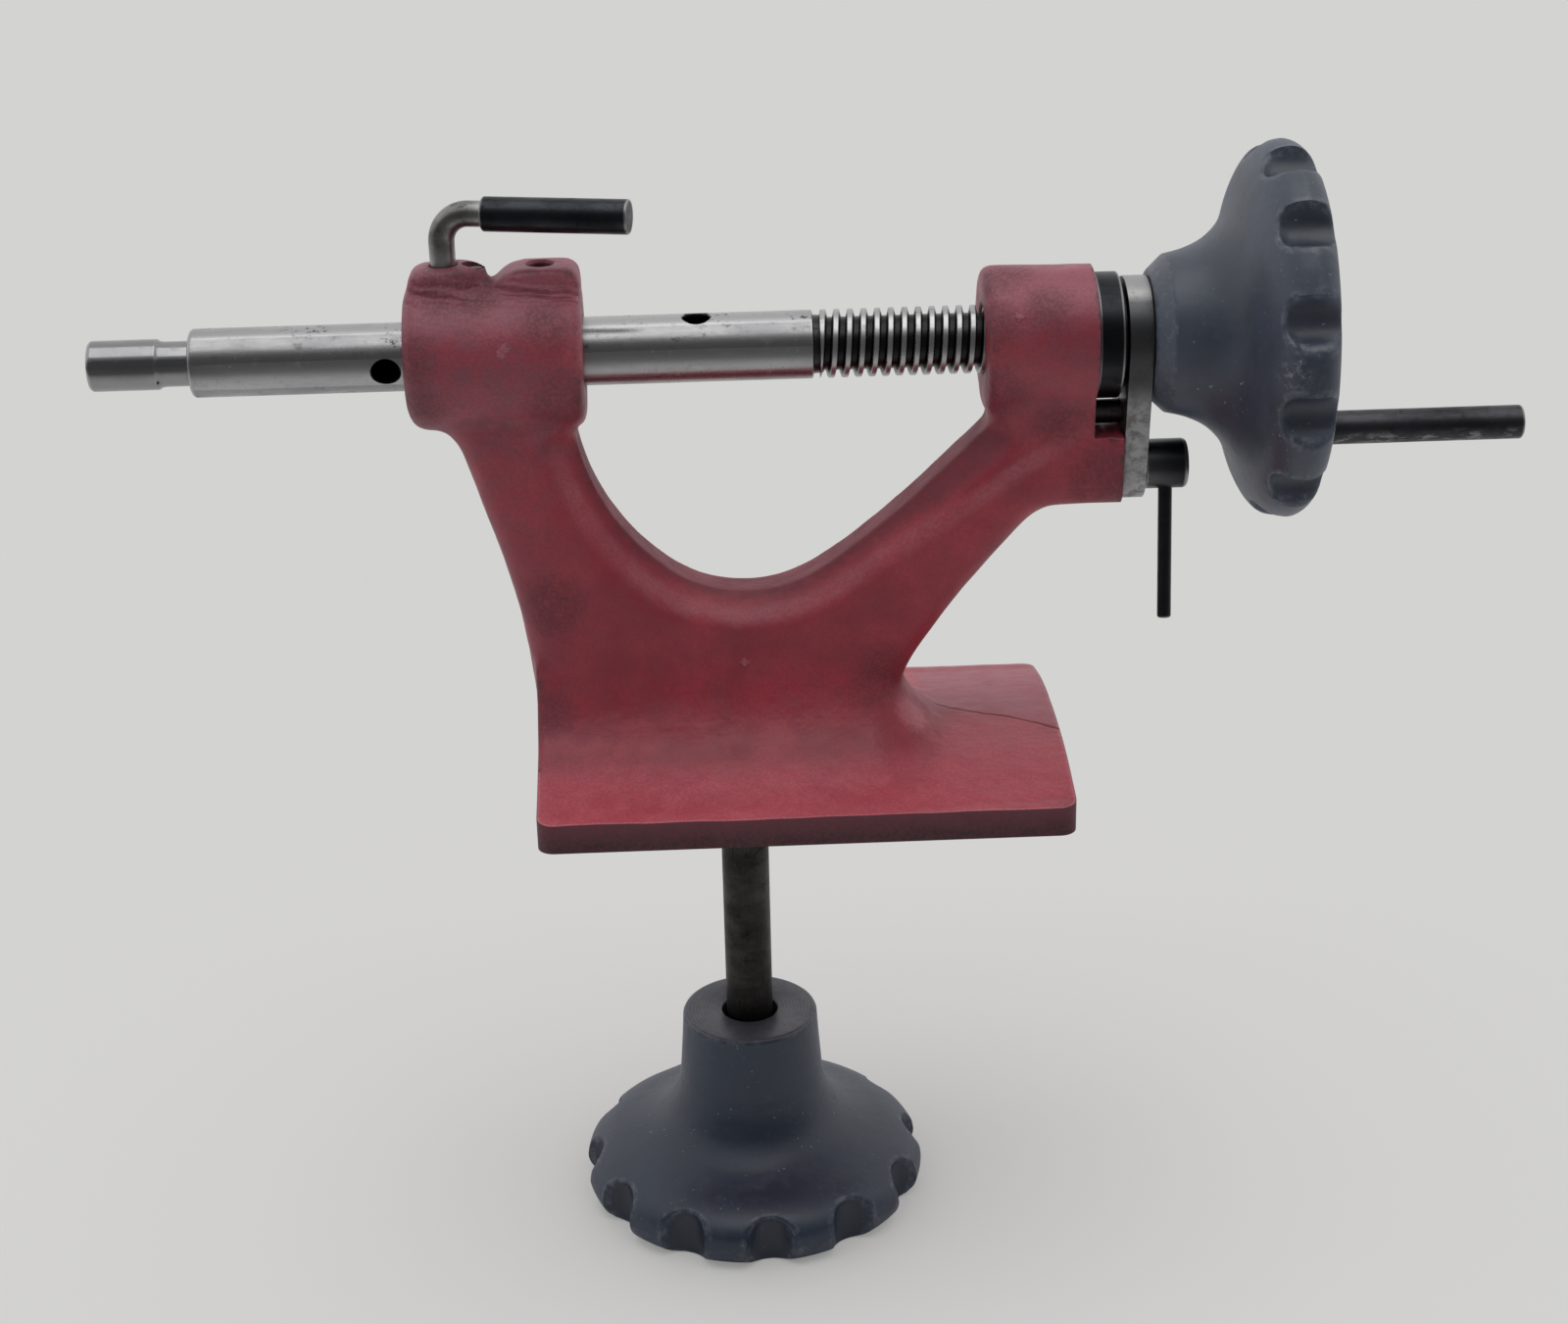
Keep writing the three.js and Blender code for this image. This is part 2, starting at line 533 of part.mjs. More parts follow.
function keeperPlate() {
  const outline = new THREE.Shape();
  const side = Math.asin((KEEPER.upperRadius - KEEPER.lowerRadius) / CLAMP.drop);
  outline.absarc(0, H, KEEPER.upperRadius, -side, Math.PI + side);
  outline.absarc(0, CLAMP_Z, KEEPER.lowerRadius, Math.PI + side, 2 * Math.PI - side);
  outline.closePath();
  const plate = barAlongX(outline, KEEPER_LEFT, KEEPER_RIGHT, 0.5);
  const hole = (radius, drop) => {
    const centre = new THREE.Vector3(0, 0, H - drop);
    return rod(radius, KEEPER_LEFT - 1, KEEPER_RIGHT + 1, UNIT_X, centre);
  };
  return cut(
    plate,
    hole(NUT.bodyRadius + RUNNING, 0),
    hole(DOWEL.radius + GAP, DOWEL.dropFromSpindle),
    hole(CLAMP.shankRadius + RUNNING, CLAMP.drop),
  );
}

function keeperDowel() {
  const centre = new THREE.Vector3(0, 0, H - DOWEL.dropFromSpindle);
  return roundedRod(DOWEL.radius, REAR_FACE - DOWEL.intoCasting, KEEPER_RIGHT - 0.5, 0.6, UNIT_X, centre, SMALL);
}

const clampBarDirection = new THREE.Vector3(
  0, -Math.sin(radians(CLAMP_BAR.swing)), -Math.cos(radians(CLAMP_BAR.swing)),
);
const clampBarRoot = new THREE.Vector3(KEEPER_RIGHT + GAP + CLAMP_BAR.offset, 0, CLAMP_Z);

function clampScrew() {
  const head = KEEPER_RIGHT + GAP;
  const centre = new THREE.Vector3(0, 0, CLAMP_Z);
  const body = turned([
    [KEEPER_RIGHT - CLAMP.shankLength, 0],
    [KEEPER_RIGHT - CLAMP.shankLength, CLAMP.shankRadius - 1],
    [KEEPER_RIGHT - CLAMP.shankLength + 1, CLAMP.shankRadius],
    [head, CLAMP.shankRadius],
    [head, CLAMP.headRadius],
    [head + CLAMP.headLength - 0.7, CLAMP.headRadius],
    [head + CLAMP.headLength, CLAMP.headRadius - 0.7],
    [head + CLAMP.headLength, 0],
  ], UNIT_X, centre, ROUND);
  const hole = rod(CLAMP_BAR.radius + GAP, -2, CLAMP.headRadius + 1, clampBarDirection, clampBarRoot, SMALL);
  return cut(body, hole);
}

function clampScrewBar() {
  return roundedRod(CLAMP_BAR.radius, -2 + GAP, CLAMP_BAR.length, 0.5, clampBarDirection, clampBarRoot, SMALL);
}

// ---- Scalloped wheels: one pattern for the handwheel and, with a longer hub, for the clamp knob ----
function rimProfile() {
  const rise = RIM.radius - HUB.radius;
  const slope = new THREE.SplineCurve([
    new THREE.Vector2(HUB.chamferEnd, HUB.radius),
    ...FLANK.behind.map((back, i) => new THREE.Vector2(RIM.plane - back, HUB.radius + rise * FLANK.share[i])),
    new THREE.Vector2(RIM.plane, RIM.radius),
  ]);
  return slope.getPoints(11).map((point) => [point.x, point.y]);
}

function outerFaceProfile() {
  return [
    ...arc(RIM.plane, RIM.radius - RIM.round, RIM.round, 90, 0, 3).slice(1),
    [RIM_OUTER, RIM.radius - RIM.face],
    [WHEEL_FLOOR + 2, RIM.radius - RIM.floor + 1],
    [WHEEL_FLOOR, RIM.radius - RIM.floor - 1],
    [WHEEL_FLOOR, HUB.bossRadius + 1],
    [BOSS_END, HUB.bossRadius],
    [BOSS_END, 0],
  ];
}

function notchCutters(axis, centre, start, shift) {
  const across = Math.abs(axis.z) > 0.5 ? new THREE.Vector3(0, -1, 0) : new THREE.Vector3(0, 0, 1);
  const orbit = RIM.radius - NOTCH.depth + NOTCH.radius;
  const from = NOTCH.roundedFrom + shift;
  const profile = [
    ...arc(from, 0, NOTCH.radius, 180, 90, 3),
    [RIM_OUTER + shift + NOTCH.overrun, NOTCH.radius],
    [RIM_OUTER + shift + NOTCH.overrun, 0],
  ];
  return Array.from({ length: NOTCH.count }, (_, i) => {
    const angle = radians(start + (360 * i) / NOTCH.count);
    const place = across.clone().applyAxisAngle(axis, angle).multiplyScalar(orbit).add(centre);
    return turned(profile, axis, place, SMALL);
  });
}

function handwheel() {
  const centre = new THREE.Vector3(WHEEL_FACE, 0, H);
  const wheel = turned([
    [0, 0],
    [0, HUB.faceRadius],
    ...rimProfile(),
    ...outerFaceProfile(),
  ], UNIT_X, centre, FINE);
  const swing = radians(HANDLE.swing);
  const handleAt = new THREE.Vector3(0, HANDLE_ORBIT * Math.sin(swing), H - HANDLE_ORBIT * Math.cos(swing));
  const handleStart = WHEEL_FACE + WHEEL_FLOOR - HANDLE.depth - GAP;
  return cut(
    wheel,
    rod(NUT.bodyRadius + GAP, WHEEL_FACE - 1, WHEEL_FACE + RIM_OUTER, UNIT_X, spindle),
    wheelKeyBox(GAP),
    rod(HANDLE.radius + GAP, handleStart, WHEEL_FACE + RIM_OUTER, UNIT_X, handleAt, SMALL),
    ...notchCutters(UNIT_X, centre, NOTCH.phaseWheel, 0),
  );
}

function crankHandle() {
  const swing = radians(HANDLE.swing);
  const centre = new THREE.Vector3(0, HANDLE_ORBIT * Math.sin(swing), H - HANDLE_ORBIT * Math.cos(swing));
  const start = WHEEL_FACE + WHEEL_FLOOR - HANDLE.depth;
  return roundedRod(HANDLE.radius, start, start + HANDLE.length, 0.8, UNIT_X, centre, ROUND);
}

function wheelRingNut() {
  const left = WHEEL_FACE + BOSS_END + GAP;
  const right = left + RING_NUT.thickness;
  return cut(
    roundedRod(RING_NUT.radius, left, right, 0.8, UNIT_X, spindle, FINE),
    rod(NUT.endRadius + GAP, left - 1, right + 1, UNIT_X, spindle),
  );
}

const DOWN = new THREE.Vector3(0, 0, -1);

function clampKnob() {
  const centre = new THREE.Vector3(STUD.x, 0, KNOB.hubTop);
  const lengthen = ([along, radius]) => [along + KNOB.hubExtra, radius];
  const knob = turned([
    [0, 0],
    ...arc(KNOB.topRound, KNOB.topRadius - KNOB.topRound, KNOB.topRound, 180, 90, 3),
    ...rimProfile().map(lengthen),
    ...outerFaceProfile().map(lengthen),
  ], DOWN, centre, FINE);
  const end = BOSS_END + KNOB.hubExtra;
  return cut(
    knob,
    rod(KNOB.bore, -1, end + 1, DOWN, centre, ROUND),
    rod(BUSH.radius + GAP, end - BUSH.length - GAP, end + 1, DOWN, centre, ROUND),
    ...notchCutters(DOWN, centre, NOTCH.phaseKnob, KNOB.hubExtra),
  );
}

function knobBush() {
  const centre = new THREE.Vector3(STUD.x, 0, KNOB.hubTop);
  const end = BOSS_END + KNOB.hubExtra;
  return cut(
    rod(BUSH.radius, end - BUSH.length, end, DOWN, centre),
    rod(STUD.threadRadius + GAP, end - BUSH.length - 1, end + 1, DOWN, centre),
  );
}

function clampStud() {
  const thread = STUD.threadRadius;
  const shank = STUD.shankRadius;
  return turned([
    [STUD.bottom, 0],
    [STUD.bottom, thread - 1],
    [STUD.bottom + 1, thread],
    [STUD.threadTop, thread],
    [STUD.threadTop + 0.5, shank],
    [-0.5, shank],
    [0, thread],
    [STUD.intoCasting - 1, thread],
    [STUD.intoCasting, thread - 1],
    [STUD.intoCasting, 0],
  ], UNIT_Z, new THREE.Vector3(STUD.x, 0, 0));
}

// ---- Quill lock: bent lever screwed into the front lug, its grip, brass pad and slotted grub screw ----
const leverOut = new THREE.Vector3(Math.cos(radians(LEVER.turn)), -Math.sin(radians(LEVER.turn)), 0);
const leverTop = new THREE.Vector3(LEVER_X, 0, H + LEVER.height);

function lockLever() {
  const path = new THREE.CurvePath();
  const foot = new THREE.Vector3(LEVER_X, 0, H + LEVER.foot);
  const bendStart = leverTop.clone().addScaledVector(UNIT_Z, -LEVER.bendRadius);
  const bendEnd = leverTop.clone().addScaledVector(leverOut, LEVER.bendRadius);
  const end = leverTop.clone().addScaledVector(leverOut, GRIP.start + LEVER.reachIntoGrip);
  const pull = LEVER.bendRadius * 0.4477;
  path.add(new THREE.LineCurve3(foot, bendStart));
  path.add(new THREE.CubicBezierCurve3(
    bendStart,
    bendStart.clone().addScaledVector(UNIT_Z, LEVER.bendRadius - pull),
    bendEnd.clone().addScaledVector(leverOut, pull - LEVER.bendRadius),
    bendEnd,
  ));
  path.add(new THREE.LineCurve3(bendEnd, end));
  const section = new THREE.Shape();
  section.absarc(0, 0, LEVER.radius, 0, 2 * Math.PI);
  const geometry = new THREE.ExtrudeGeometry(section, {
    steps: 22, extrudePath: path, bevelEnabled: false, curveSegments: 8,
  });
  return toSolid(geometry);
}

function leverGrip() {
  const end = GRIP.start + GRIP.length;
  return cut(
    roundedRod(GRIP.radius, GRIP.start, end, GRIP.chamfer, leverOut, leverTop),
    rod(LEVER.radius + GAP, GRIP.start - 1, GRIP.start + LEVER.reachIntoGrip + GAP, leverOut, leverTop, SMALL),
  );
}

function lockPad() {
  const centre = new THREE.Vector3(LEVER_X, 0, H);
  return rod(PAD.radius, QUILL.radius + GAP, LEVER.foot - GAP, UNIT_Z, centre, SMALL);
}

function grubScrew() {
  const top = H + LUG.height - GRUB.recess;
  const centre = new THREE.Vector3(GRUB_X, 0, 0);
  const slot = box(
    [GRUB_X - GRUB.radius - 1, -GRUB.slotWidth / 2, top - GRUB.slotDepth],
    [GRUB_X + GRUB.radius + 1, GRUB.slotWidth / 2, top + 1],
  );
  return cut(rod(GRUB.radius, top - GRUB.length, top, UNIT_Z, centre, SMALL), slot);
}

addPart('tailstock_casting', tailstockCasting(), ...RED_PAINT);
addPart('quill', quill(), ...TURNED_STEEL);
addPart('nose_insert', noseInsert(), ...POLISHED_STEEL);
addPart('quill_key', quillKey(), ...GREY_STEEL);
addPart('screw_nut', screwNut(), ...BLACK_STEEL);
addPart('thrust_washer', thrustWasher(), ...GREY_STEEL);
addPart('keeper_plate', keeperPlate(), ...GREY_STEEL);
addPart('keeper_dowel', keeperDowel(), ...GREY_STEEL);
addPart('clamp_screw', clampScrew(), ...BLACK_STEEL);
addPart('clamp_screw_bar', clampScrewBar(), ...BLACK_STEEL);
addPart('handwheel', handwheel(), ...BLUE_PAINT);
addPart('wheel_key', wheelKeyBox(0), ...GREY_STEEL);
addPart('wheel_ring_nut', wheelRingNut(), ...BLACK_STEEL);
addPart('crank_handle', crankHandle(), ...BLACK_STEEL);
addPart('lock_lever', lockLever(), ...GREY_STEEL);
addPart('lever_grip', leverGrip(), ...BLACK_STEEL);
addPart('lock_pad', lockPad(), ...BRASS);
addPart('grub_screw', grubScrew(), ...GREY_STEEL);
addPart('clamp_stud', clampStud(), ...GREY_STEEL);
addPart('clamp_knob', clampKnob(), ...BLUE_PAINT);
addPart('knob_bush', knobBush(), ...GREY_STEEL);

export default group;
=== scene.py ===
import math

import bmesh
import bpy
from mathutils import Matrix, Vector, kdtree, noise


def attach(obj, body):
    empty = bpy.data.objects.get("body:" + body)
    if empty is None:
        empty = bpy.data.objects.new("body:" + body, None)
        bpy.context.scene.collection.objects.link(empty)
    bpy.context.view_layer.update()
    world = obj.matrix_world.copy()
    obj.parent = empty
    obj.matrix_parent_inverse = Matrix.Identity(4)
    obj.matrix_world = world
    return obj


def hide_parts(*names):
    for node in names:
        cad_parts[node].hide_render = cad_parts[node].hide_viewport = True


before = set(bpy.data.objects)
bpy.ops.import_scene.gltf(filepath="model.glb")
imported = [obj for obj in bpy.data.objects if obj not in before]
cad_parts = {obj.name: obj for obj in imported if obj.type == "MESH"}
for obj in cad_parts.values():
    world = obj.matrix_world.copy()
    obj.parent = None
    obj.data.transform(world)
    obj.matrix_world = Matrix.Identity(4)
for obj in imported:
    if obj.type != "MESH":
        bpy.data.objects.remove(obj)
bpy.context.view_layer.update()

# ======================================================================================
# Tailstock casting. One grey iron casting: a crowned base, a web with a U throat, two
# barrels, a boss for the keeper and two lugs. Sand cast, brush painted wine red, and only
# its bores, its rear faces and its underside are machined.
# ======================================================================================
ALONG = Vector((1, 0, 0))
UP = Vector((0, 0, 1))
SPINDLE_HEIGHT = 136.6  # all the lengths are millimetres, until a piece is finished
SPINDLE = Vector((0, 0, SPINDLE_HEIGHT))


def turned(profile, axis, centre, steps=96):
    """A body of revolution. The profile lists (along, radius) from one end of the axis to the other.

    A ring close to each edge keeps the edge's wear marks there.
    """
    close, long_enough = 0.4, 1.5
    points = [profile[0]]
    for near, far in zip(profile, profile[1:]):
        length = math.dist(near, far)
        if length > long_enough:
            for way in (close, length - close):
                points.append([n + (f - n) * way / length for n, f in zip(near, far)])
        points.append(far)
    bm = bmesh.new()
    ring = [bm.verts.new((radius, 0, along)) for along, radius in points]
    lines = [bm.edges.new(pair) for pair in zip(ring, ring[1:])]
    bmesh.ops.spin(
        bm,
        geom=ring + lines,
        cent=(0, 0, 0),
        axis=(0, 0, 1),
        angle=math.tau,
        steps=steps,
        use_merge=True,
    )
    bmesh.ops.remove_doubles(bm, verts=bm.verts, dist=1e-4)
    bmesh.ops.recalc_face_normals(bm, faces=bm.faces)
    turn = UP.rotation_difference(axis).to_matrix().to_4x4()
    bmesh.ops.transform(bm, matrix=Matrix.Translation(centre) @ turn, verts=bm.verts)
    return bm


def rounded(start, end, radius, edge=0.0, steps=3):
    """The profile of a plain rod with its two edges rounded."""
    if edge == 0:
        return [(start, 0), (start, radius), (end, radius), (end, 0)]
    arc = [math.radians(90 * i / steps) for i in range(steps + 1)]
    near = [(start + edge - edge * math.cos(a), radius - edge + edge * math.sin(a)) for a in arc]
    far = [(end - edge + edge * math.sin(a), radius - edge + edge * math.cos(a)) for a in arc]
    return [(start, 0), *near, *far, (end, 0)]


def rod(radius, start, end, axis=ALONG, centre=SPINDLE, edge=0.0, steps=64):
    return turned(rounded(start, end, radius, edge), axis, centre, steps)


def block(low, high, edge=0.0):
    bm = bmesh.new()
    low, high = Vector(low), Vector(high)
    place = Matrix.Translation((low + high) / 2) @ Matrix.Diagonal((*(high - low), 1))
    bmesh.ops.create_cube(bm, size=1, matrix=place)
    if edge:
        bmesh.ops.bevel(
            bm, geom=bm.edges[:], offset=edge, affect="EDGES", segments=2, profile=0.5, material=-1
        )
    return bm


def piece_of(name, bm):
    """A mesh object in the scene, still in millimetres."""
    mesh = bpy.data.meshes.new(name)
    bm.to_mesh(mesh)
    bm.free()
    piece = bpy.data.objects.new(name, mesh)
    bpy.context.scene.collection.objects.link(piece)
    return piece


def settle(piece):
    """Applies a piece's modifiers to its mesh."""
    graph = bpy.context.evaluated_depsgraph_get()
    mesh = bpy.data.meshes.new_from_object(piece.evaluated_get(graph))
    piece.modifiers.clear()
    piece.data = mesh


def carve(piece, operation, *tools):
    """Cuts the tools from the piece, joins them to it, or keeps what it shares with them."""
    cutters = [piece_of("tool", bm) for bm in tools]
    for cutter in cutters:
        step = piece.modifiers.new("carve", "BOOLEAN")
        step.operation, step.solver, step.object = operation, "MANIFOLD", cutter
    settle(piece)
    for cutter in cutters:
        bpy.data.objects.remove(cutter)
    return piece


def edge_marks(piece, passes=2):
    """Stores how far each point stands out ("proud") or lies in a corner ("sheltered").

    The finishes read these for their wear, their dirt and their painted shade.
    """
    bm = bmesh.new()
    bm.from_mesh(piece.data)
    bm.verts.ensure_lookup_table()
    bend = [0.0] * len(bm.verts)
    for edge in bm.edges:
        if len(edge.link_faces) == 2:
            angle = edge.calc_face_angle_signed(0.0)
            for vert in edge.verts:
                if abs(angle) > abs(bend[vert.index]):
                    bend[vert.index] = angle
    for _ in range(passes):
        around = [sum(bend[e.other_vert(v).index] for e in v.link_edges) for v in bm.verts]
        bend = [(bend[v.index] + around[v.index]) / (1 + len(v.link_edges)) for v in bm.verts]
    bm.free()
    proud = piece.data.attributes.new("proud", "FLOAT", "POINT")
    proud.data.foreach_set("value", [max(0.0, b) for b in bend])
    sheltered = piece.data.attributes.new("sheltered", "FLOAT", "POINT")
    sheltered.data.foreach_set("value", [max(0.0, -b) for b in bend])


def finished(piece, material, body, nodes, crease=35):
    """Turns a piece to metres and gives it sharp edges, its material and its place on the frame."""
    piece.data.transform(Matrix.Scale(0.001, 4))
    piece.data.shade_smooth()
    piece.data.set_sharp_from_angle(angle=math.radians(crease))
    piece.data.materials.clear()
    piece.data.materials.append(material)
    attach(piece, body)
    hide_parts(*nodes)


def tint(code):
    """A colour as it is written on a paint chart, in the linear numbers that a shader takes."""
    parts = [int(code[i:i + 2], 16) / 255 for i in (0, 2, 4)]
    return (*[p / 12.92 if p <= 0.04045 else ((p + 0.055) / 1.055) ** 2.4 for p in parts], 1.0)


class Wire:
    """One output in a material. Python's operators on it add the Math nodes."""

    def __init__(self, tree, socket=None):
        self.tree = tree
        self.socket = socket

    def node(self, kind, settings=None, sockets=None, out=0):
        made = self.tree.nodes.new("ShaderNode" + kind)
        for name, value in (settings or {}).items():
            setattr(made, name, value)
        for name, value in (sockets or {}).items():
            if isinstance(value, Wire):
                self.tree.links.new(value.socket, made.inputs[name])
            else:
                made.inputs[name].default_value = value
        return Wire(self.tree, made.outputs[out])

    def maths(self, operation, first, second=0.0):
        return self.node("Math", {"operation": operation}, {0: first, 1: second})

    def __add__(self, other):
        return self.maths("ADD", self, other)

    def __sub__(self, other):
        return self.maths("SUBTRACT", self, other)

    def __rsub__(self, other):
        return self.maths("SUBTRACT", other, self)

    def __mul__(self, other):
        return self.maths("MULTIPLY", self, other)

    def __pow__(self, other):
        return self.maths("POWER", self, other)

    __radd__ = __add__
    __rmul__ = __mul__

    def unsigned(self):
        return self.maths("ABSOLUTE", self)

    def sine(self):
        return self.maths("SINE", self)

    def most(self, other):
        return self.maths("MAXIMUM", self, other)

    def least(self, other):
        return self.maths("MINIMUM", self, other)

    def between(self, low, high):
        """0 below the low value, 1 above the high one, and a soft slope from one to the other."""
        return self.node(
            "MapRange",
            {"interpolation_type": "SMOOTHSTEP"},
            {"Value": self, "From Min": low, "From Max": high},
        )

    def blend(self, first, second):
        """Two colours mixed by this mask."""
        return self.node("Mix", {"data_type": "RGBA"}, {0: self, 6: first, 7: second}, out=2)

    def spots(self, size, detail=3.0, rough=0.55, stretch=(1, 1, 1), shift=(0, 0, 0)):
        """Noise over this place, with patches about `size` millimetres across."""
        moved = self.node("Mapping", {}, {"Vector": self, "Location": shift, "Scale": stretch})
        return self.node(
            "TexNoise",
            {},
            {"Vector": moved, "Scale": 1 / size, "Detail": detail, "Roughness": rough},
        )

    def part(self, name):
        """X, Y or Z of this place."""
        return self.node("SeparateXYZ", {}, {"Vector": self}, out=name)

    def apart(self, point):
        """How far this place is from a point."""
        return self.node("VectorMath", {"operation": "DISTANCE"}, {0: self, 1: point}, out="Value")


def new_finish(name, **constants):
    """A material with one Principled shader; gives both, and the place in millimetres as a wire."""
    material = bpy.data.materials.new(name)
    material.use_nodes = True
    shader = material.node_tree.nodes["Principled BSDF"]
    for socket, value in constants.items():
        shader.inputs[socket.replace("_", " ")].default_value = value
    start = Wire(material.node_tree)
    object_place = start.node("TexCoord", out="Object")
    place = start.node("VectorMath", {"operation": "SCALE"}, {0: object_place, "Scale": 1000.0})
    return material, shader, place


def feed(shader, **wires):
    for socket, wire in wires.items():
        wire.tree.links.new(wire.socket, shader.inputs[socket.replace("_", " ")])


def relief(height):
    """A bump from a height in millimetres."""
    return height.node("Bump", {}, {"Height": height, "Distance": 0.001, "Strength": 1.0})


def mark(place, name):
    """One of the two masks that edge_marks stored: "proud" or "sheltered"."""
    return place.node("Attribute", {"attribute_name": name}, out="Fac")


BASE_LEFT, BASE_RIGHT, BASE_MIDDLE = -80.5, 78.9, -0.8
BASE_HALF, BASE_SIDE, BASE_CORNER = 79.7, 54.4, 5.0
CORNER_SIDE, CORNER_FRONT = BASE_HALF - BASE_CORNER, BASE_SIDE - BASE_CORNER
BARREL_REAR = 87.1
BOSS_REAR = 96.0
BOSS_TOP = 109.3
BORE_RADIUS = 10.3
LEVER_AXIS = Vector((-100.8, 0, 0))
GRUB_AXIS = Vector((-92.2, 0, 0))
OIL_AXIS = Vector((-73.0, 0, 0))
STUD_AXIS = Vector((-18.7, 0, 0))
DOWEL_DROP, CLAMP_DROP = 23.4, 40.4
DOWEL_AXIS = SPINDLE - UP * DOWEL_DROP
CLAMP_AXIS = SPINDLE - UP * CLAMP_DROP

shell = bmesh.new()
shell.from_mesh(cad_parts["tailstock_casting"].data)
bmesh.ops.scale(shell, vec=(1000, 1000, 1000), verts=shell.verts)
bmesh.ops.remove_doubles(shell, verts=shell.verts, dist=0.001)
# The faces that are machined are cast proud here, and cut back after the smoothing.
MACHINED_SPARE = 4
BORDER_SPARE, BORDER_TOP = 3, 14
for vert in shell.verts:
    if vert.co.z < 0.01:
        vert.co.z = -MACHINED_SPARE
    if abs(vert.co.x - BARREL_REAR) < 0.02 or abs(vert.co.x - BOSS_REAR) < 0.02:
        vert.co.x += MACHINED_SPARE
    side, front = vert.co.x - BASE_MIDDLE, vert.co.y
    past_side, past_front = abs(side) - CORNER_SIDE, abs(front) - CORNER_FRONT
    rim = BASE_CORNER - 0.1
    in_corner = min(past_side, past_front) > 0.3 and math.hypot(past_side, past_front) > rim
    if vert.co.z < BORDER_TOP and (max(past_side, past_front) > rim or in_corner):
        vert.co.x += math.copysign(BORDER_SPARE, side) if past_side > 0.1 else 0
        vert.co.y += math.copysign(BORDER_SPARE, front) if past_front > 0.1 else 0
casting = piece_of("casting_body", shell)
# The bores are plugged, so that the smoothing leaves their rims alone.
carve(
    casting,
    "UNION",
    rod(14, -112.9, -61.7),
    rod(11, 55.4, 70),
    rod(14.5, 60, 90.9),
    rod(4.8, 130, 163.8, UP, LEVER_AXIS),
    rod(3.9, 130, 163.8, UP, GRUB_AXIS),
    rod(4.6, 130, 163.2, UP, OIL_AXIS),
    rod(4.6, 74, 90.9, ALONG, DOWEL_AXIS),
    rod(6, 69, 99.8, ALONG, CLAMP_AXIS),
    rod(9.2, -3.8, 31, UP, STUD_AXIS),
)
recast = casting.modifiers.new("recast", "REMESH")
recast.mode, recast.voxel_size = "VOXEL", 1.2
settle(casting)
skin = bmesh.new()
skin.from_mesh(casting.data)


def even_out(pairs):
    """Takes the facets off and keeps the size: each smoothing is followed by its opposite."""
    for factor in (0.5, -0.5) * pairs:
        bmesh.ops.smooth_vert(
            skin,
            verts=skin.verts,
            factor=factor,
            use_axis_x=True,
            use_axis_y=True,
            use_axis_z=True,
        )


def weather(rounds, hollow, ridge, choose):
    """Fills the hollow corners and rubs the ridges down, each at its own rate."""

    def pull_on(vert):
        around = sum((edge.other_vert(vert).co for edge in vert.link_edges), Vector())
        return around / len(vert.link_edges) - vert.co

    chosen = [vert for vert in skin.verts if choose(vert.co)]
    for _ in range(rounds):
        skin.normal_update()
        pulls = [pull_on(vert) for vert in chosen]
        for vert, pull in zip(chosen, pulls):
            vert.co += pull * (hollow if pull.dot(vert.normal) > 0 else ridge)


LEG_ARC, LEG_RADIUS = (3.9, 0, 124.8), 70.0
FLOOR_ARC, FLOOR_RADIUS = (-15.5, 0, 101.3), 39.5
SLOPE_FOOT, SLOPE_SAG, SLOPE_HEAD = (5.4, 67.8), (27, 81.3), (57.1, 112.4)


def throat_line():
    """The throat's outline: two arcs and the hollow slope up the arm."""
    sweeps = ((LEG_ARC, LEG_RADIUS, 180, 0.505), (FLOOR_ARC, FLOOR_RADIUS, 230.5, 0.715))
    for (x, _, z), radius, first, step in sweeps:
        for i in range(100):
            angle = math.radians(first + step * i)
            yield x + radius * math.cos(angle), 0, z + radius * math.sin(angle)
    for i in range(101):
        t = i / 100
        x, z = (
            foot * (1 - t) ** 2 + 2 * sag * t * (1 - t) + head * t * t
            for foot, sag, head in zip(SLOPE_FOOT, SLOPE_SAG, SLOPE_HEAD)
        )
        yield x, 0, z


even_out(6)
outline = list(throat_line())
throat = kdtree.KDTree(len(outline))
for i, point in enumerate(outline):
    throat.insert(point, i)
throat.balance()
# The throat's edge slopes off at both sides, and more widely up the front leg.
SLOPED = 11
SLOPE_TOP = 116
for vert in skin.verts:
    here = vert.co
    inside = throat.find((here.x, 0, here.z))[2]
    inside /= 1 + 0.45 * min(1, max(0, (-32 - here.x) / 26))
    if inside < SLOPED and here.z < SLOPE_TOP and abs(here.y) < 17:
        reach = 5.5 + inside if inside < 7 else 12.5 + 1.6 * (1 - ((SLOPED - inside) / 4) ** 2)
        fade = min(1, max(0, (SLOPE_TOP - here.z) / 5))
        if abs(here.y) > reach:
            here.y += (math.copysign(reach, here.y) - here.y) * fade
weather(14, 0.5, 0.10, lambda point: point.z > 14)
weather(3, 0.4, 0.35, lambda point: True)
for vert in skin.verts:  # the swellings of a sand casting
    swell = noise.noise(vert.co / 17) * 0.26 + noise.noise(vert.co / 6) * 0.09
    vert.co += vert.normal * swell * min(1, max(0, (vert.co.z - 3) / 6))
casting.data = bpy.data.meshes.new("casting_body")
skin.to_mesh(casting.data)
skin.free()
plan = block((BASE_LEFT, -BASE_SIDE, -20), (BASE_RIGHT, BASE_SIDE, 40))
uprights = [e for e in plan.edges if abs(e.verts[0].co.z - e.verts[1].co.z) > 1]
bmesh.ops.bevel(
    plan, geom=uprights, offset=BASE_CORNER, affect="EDGES", segments=8, profile=0.5, material=-1
)
mould = carve(piece_of("mould", block((-200, -100, 30), (200, 100, 200))), "UNION", plan)
kept = bmesh.new()
kept.from_mesh(mould.data)
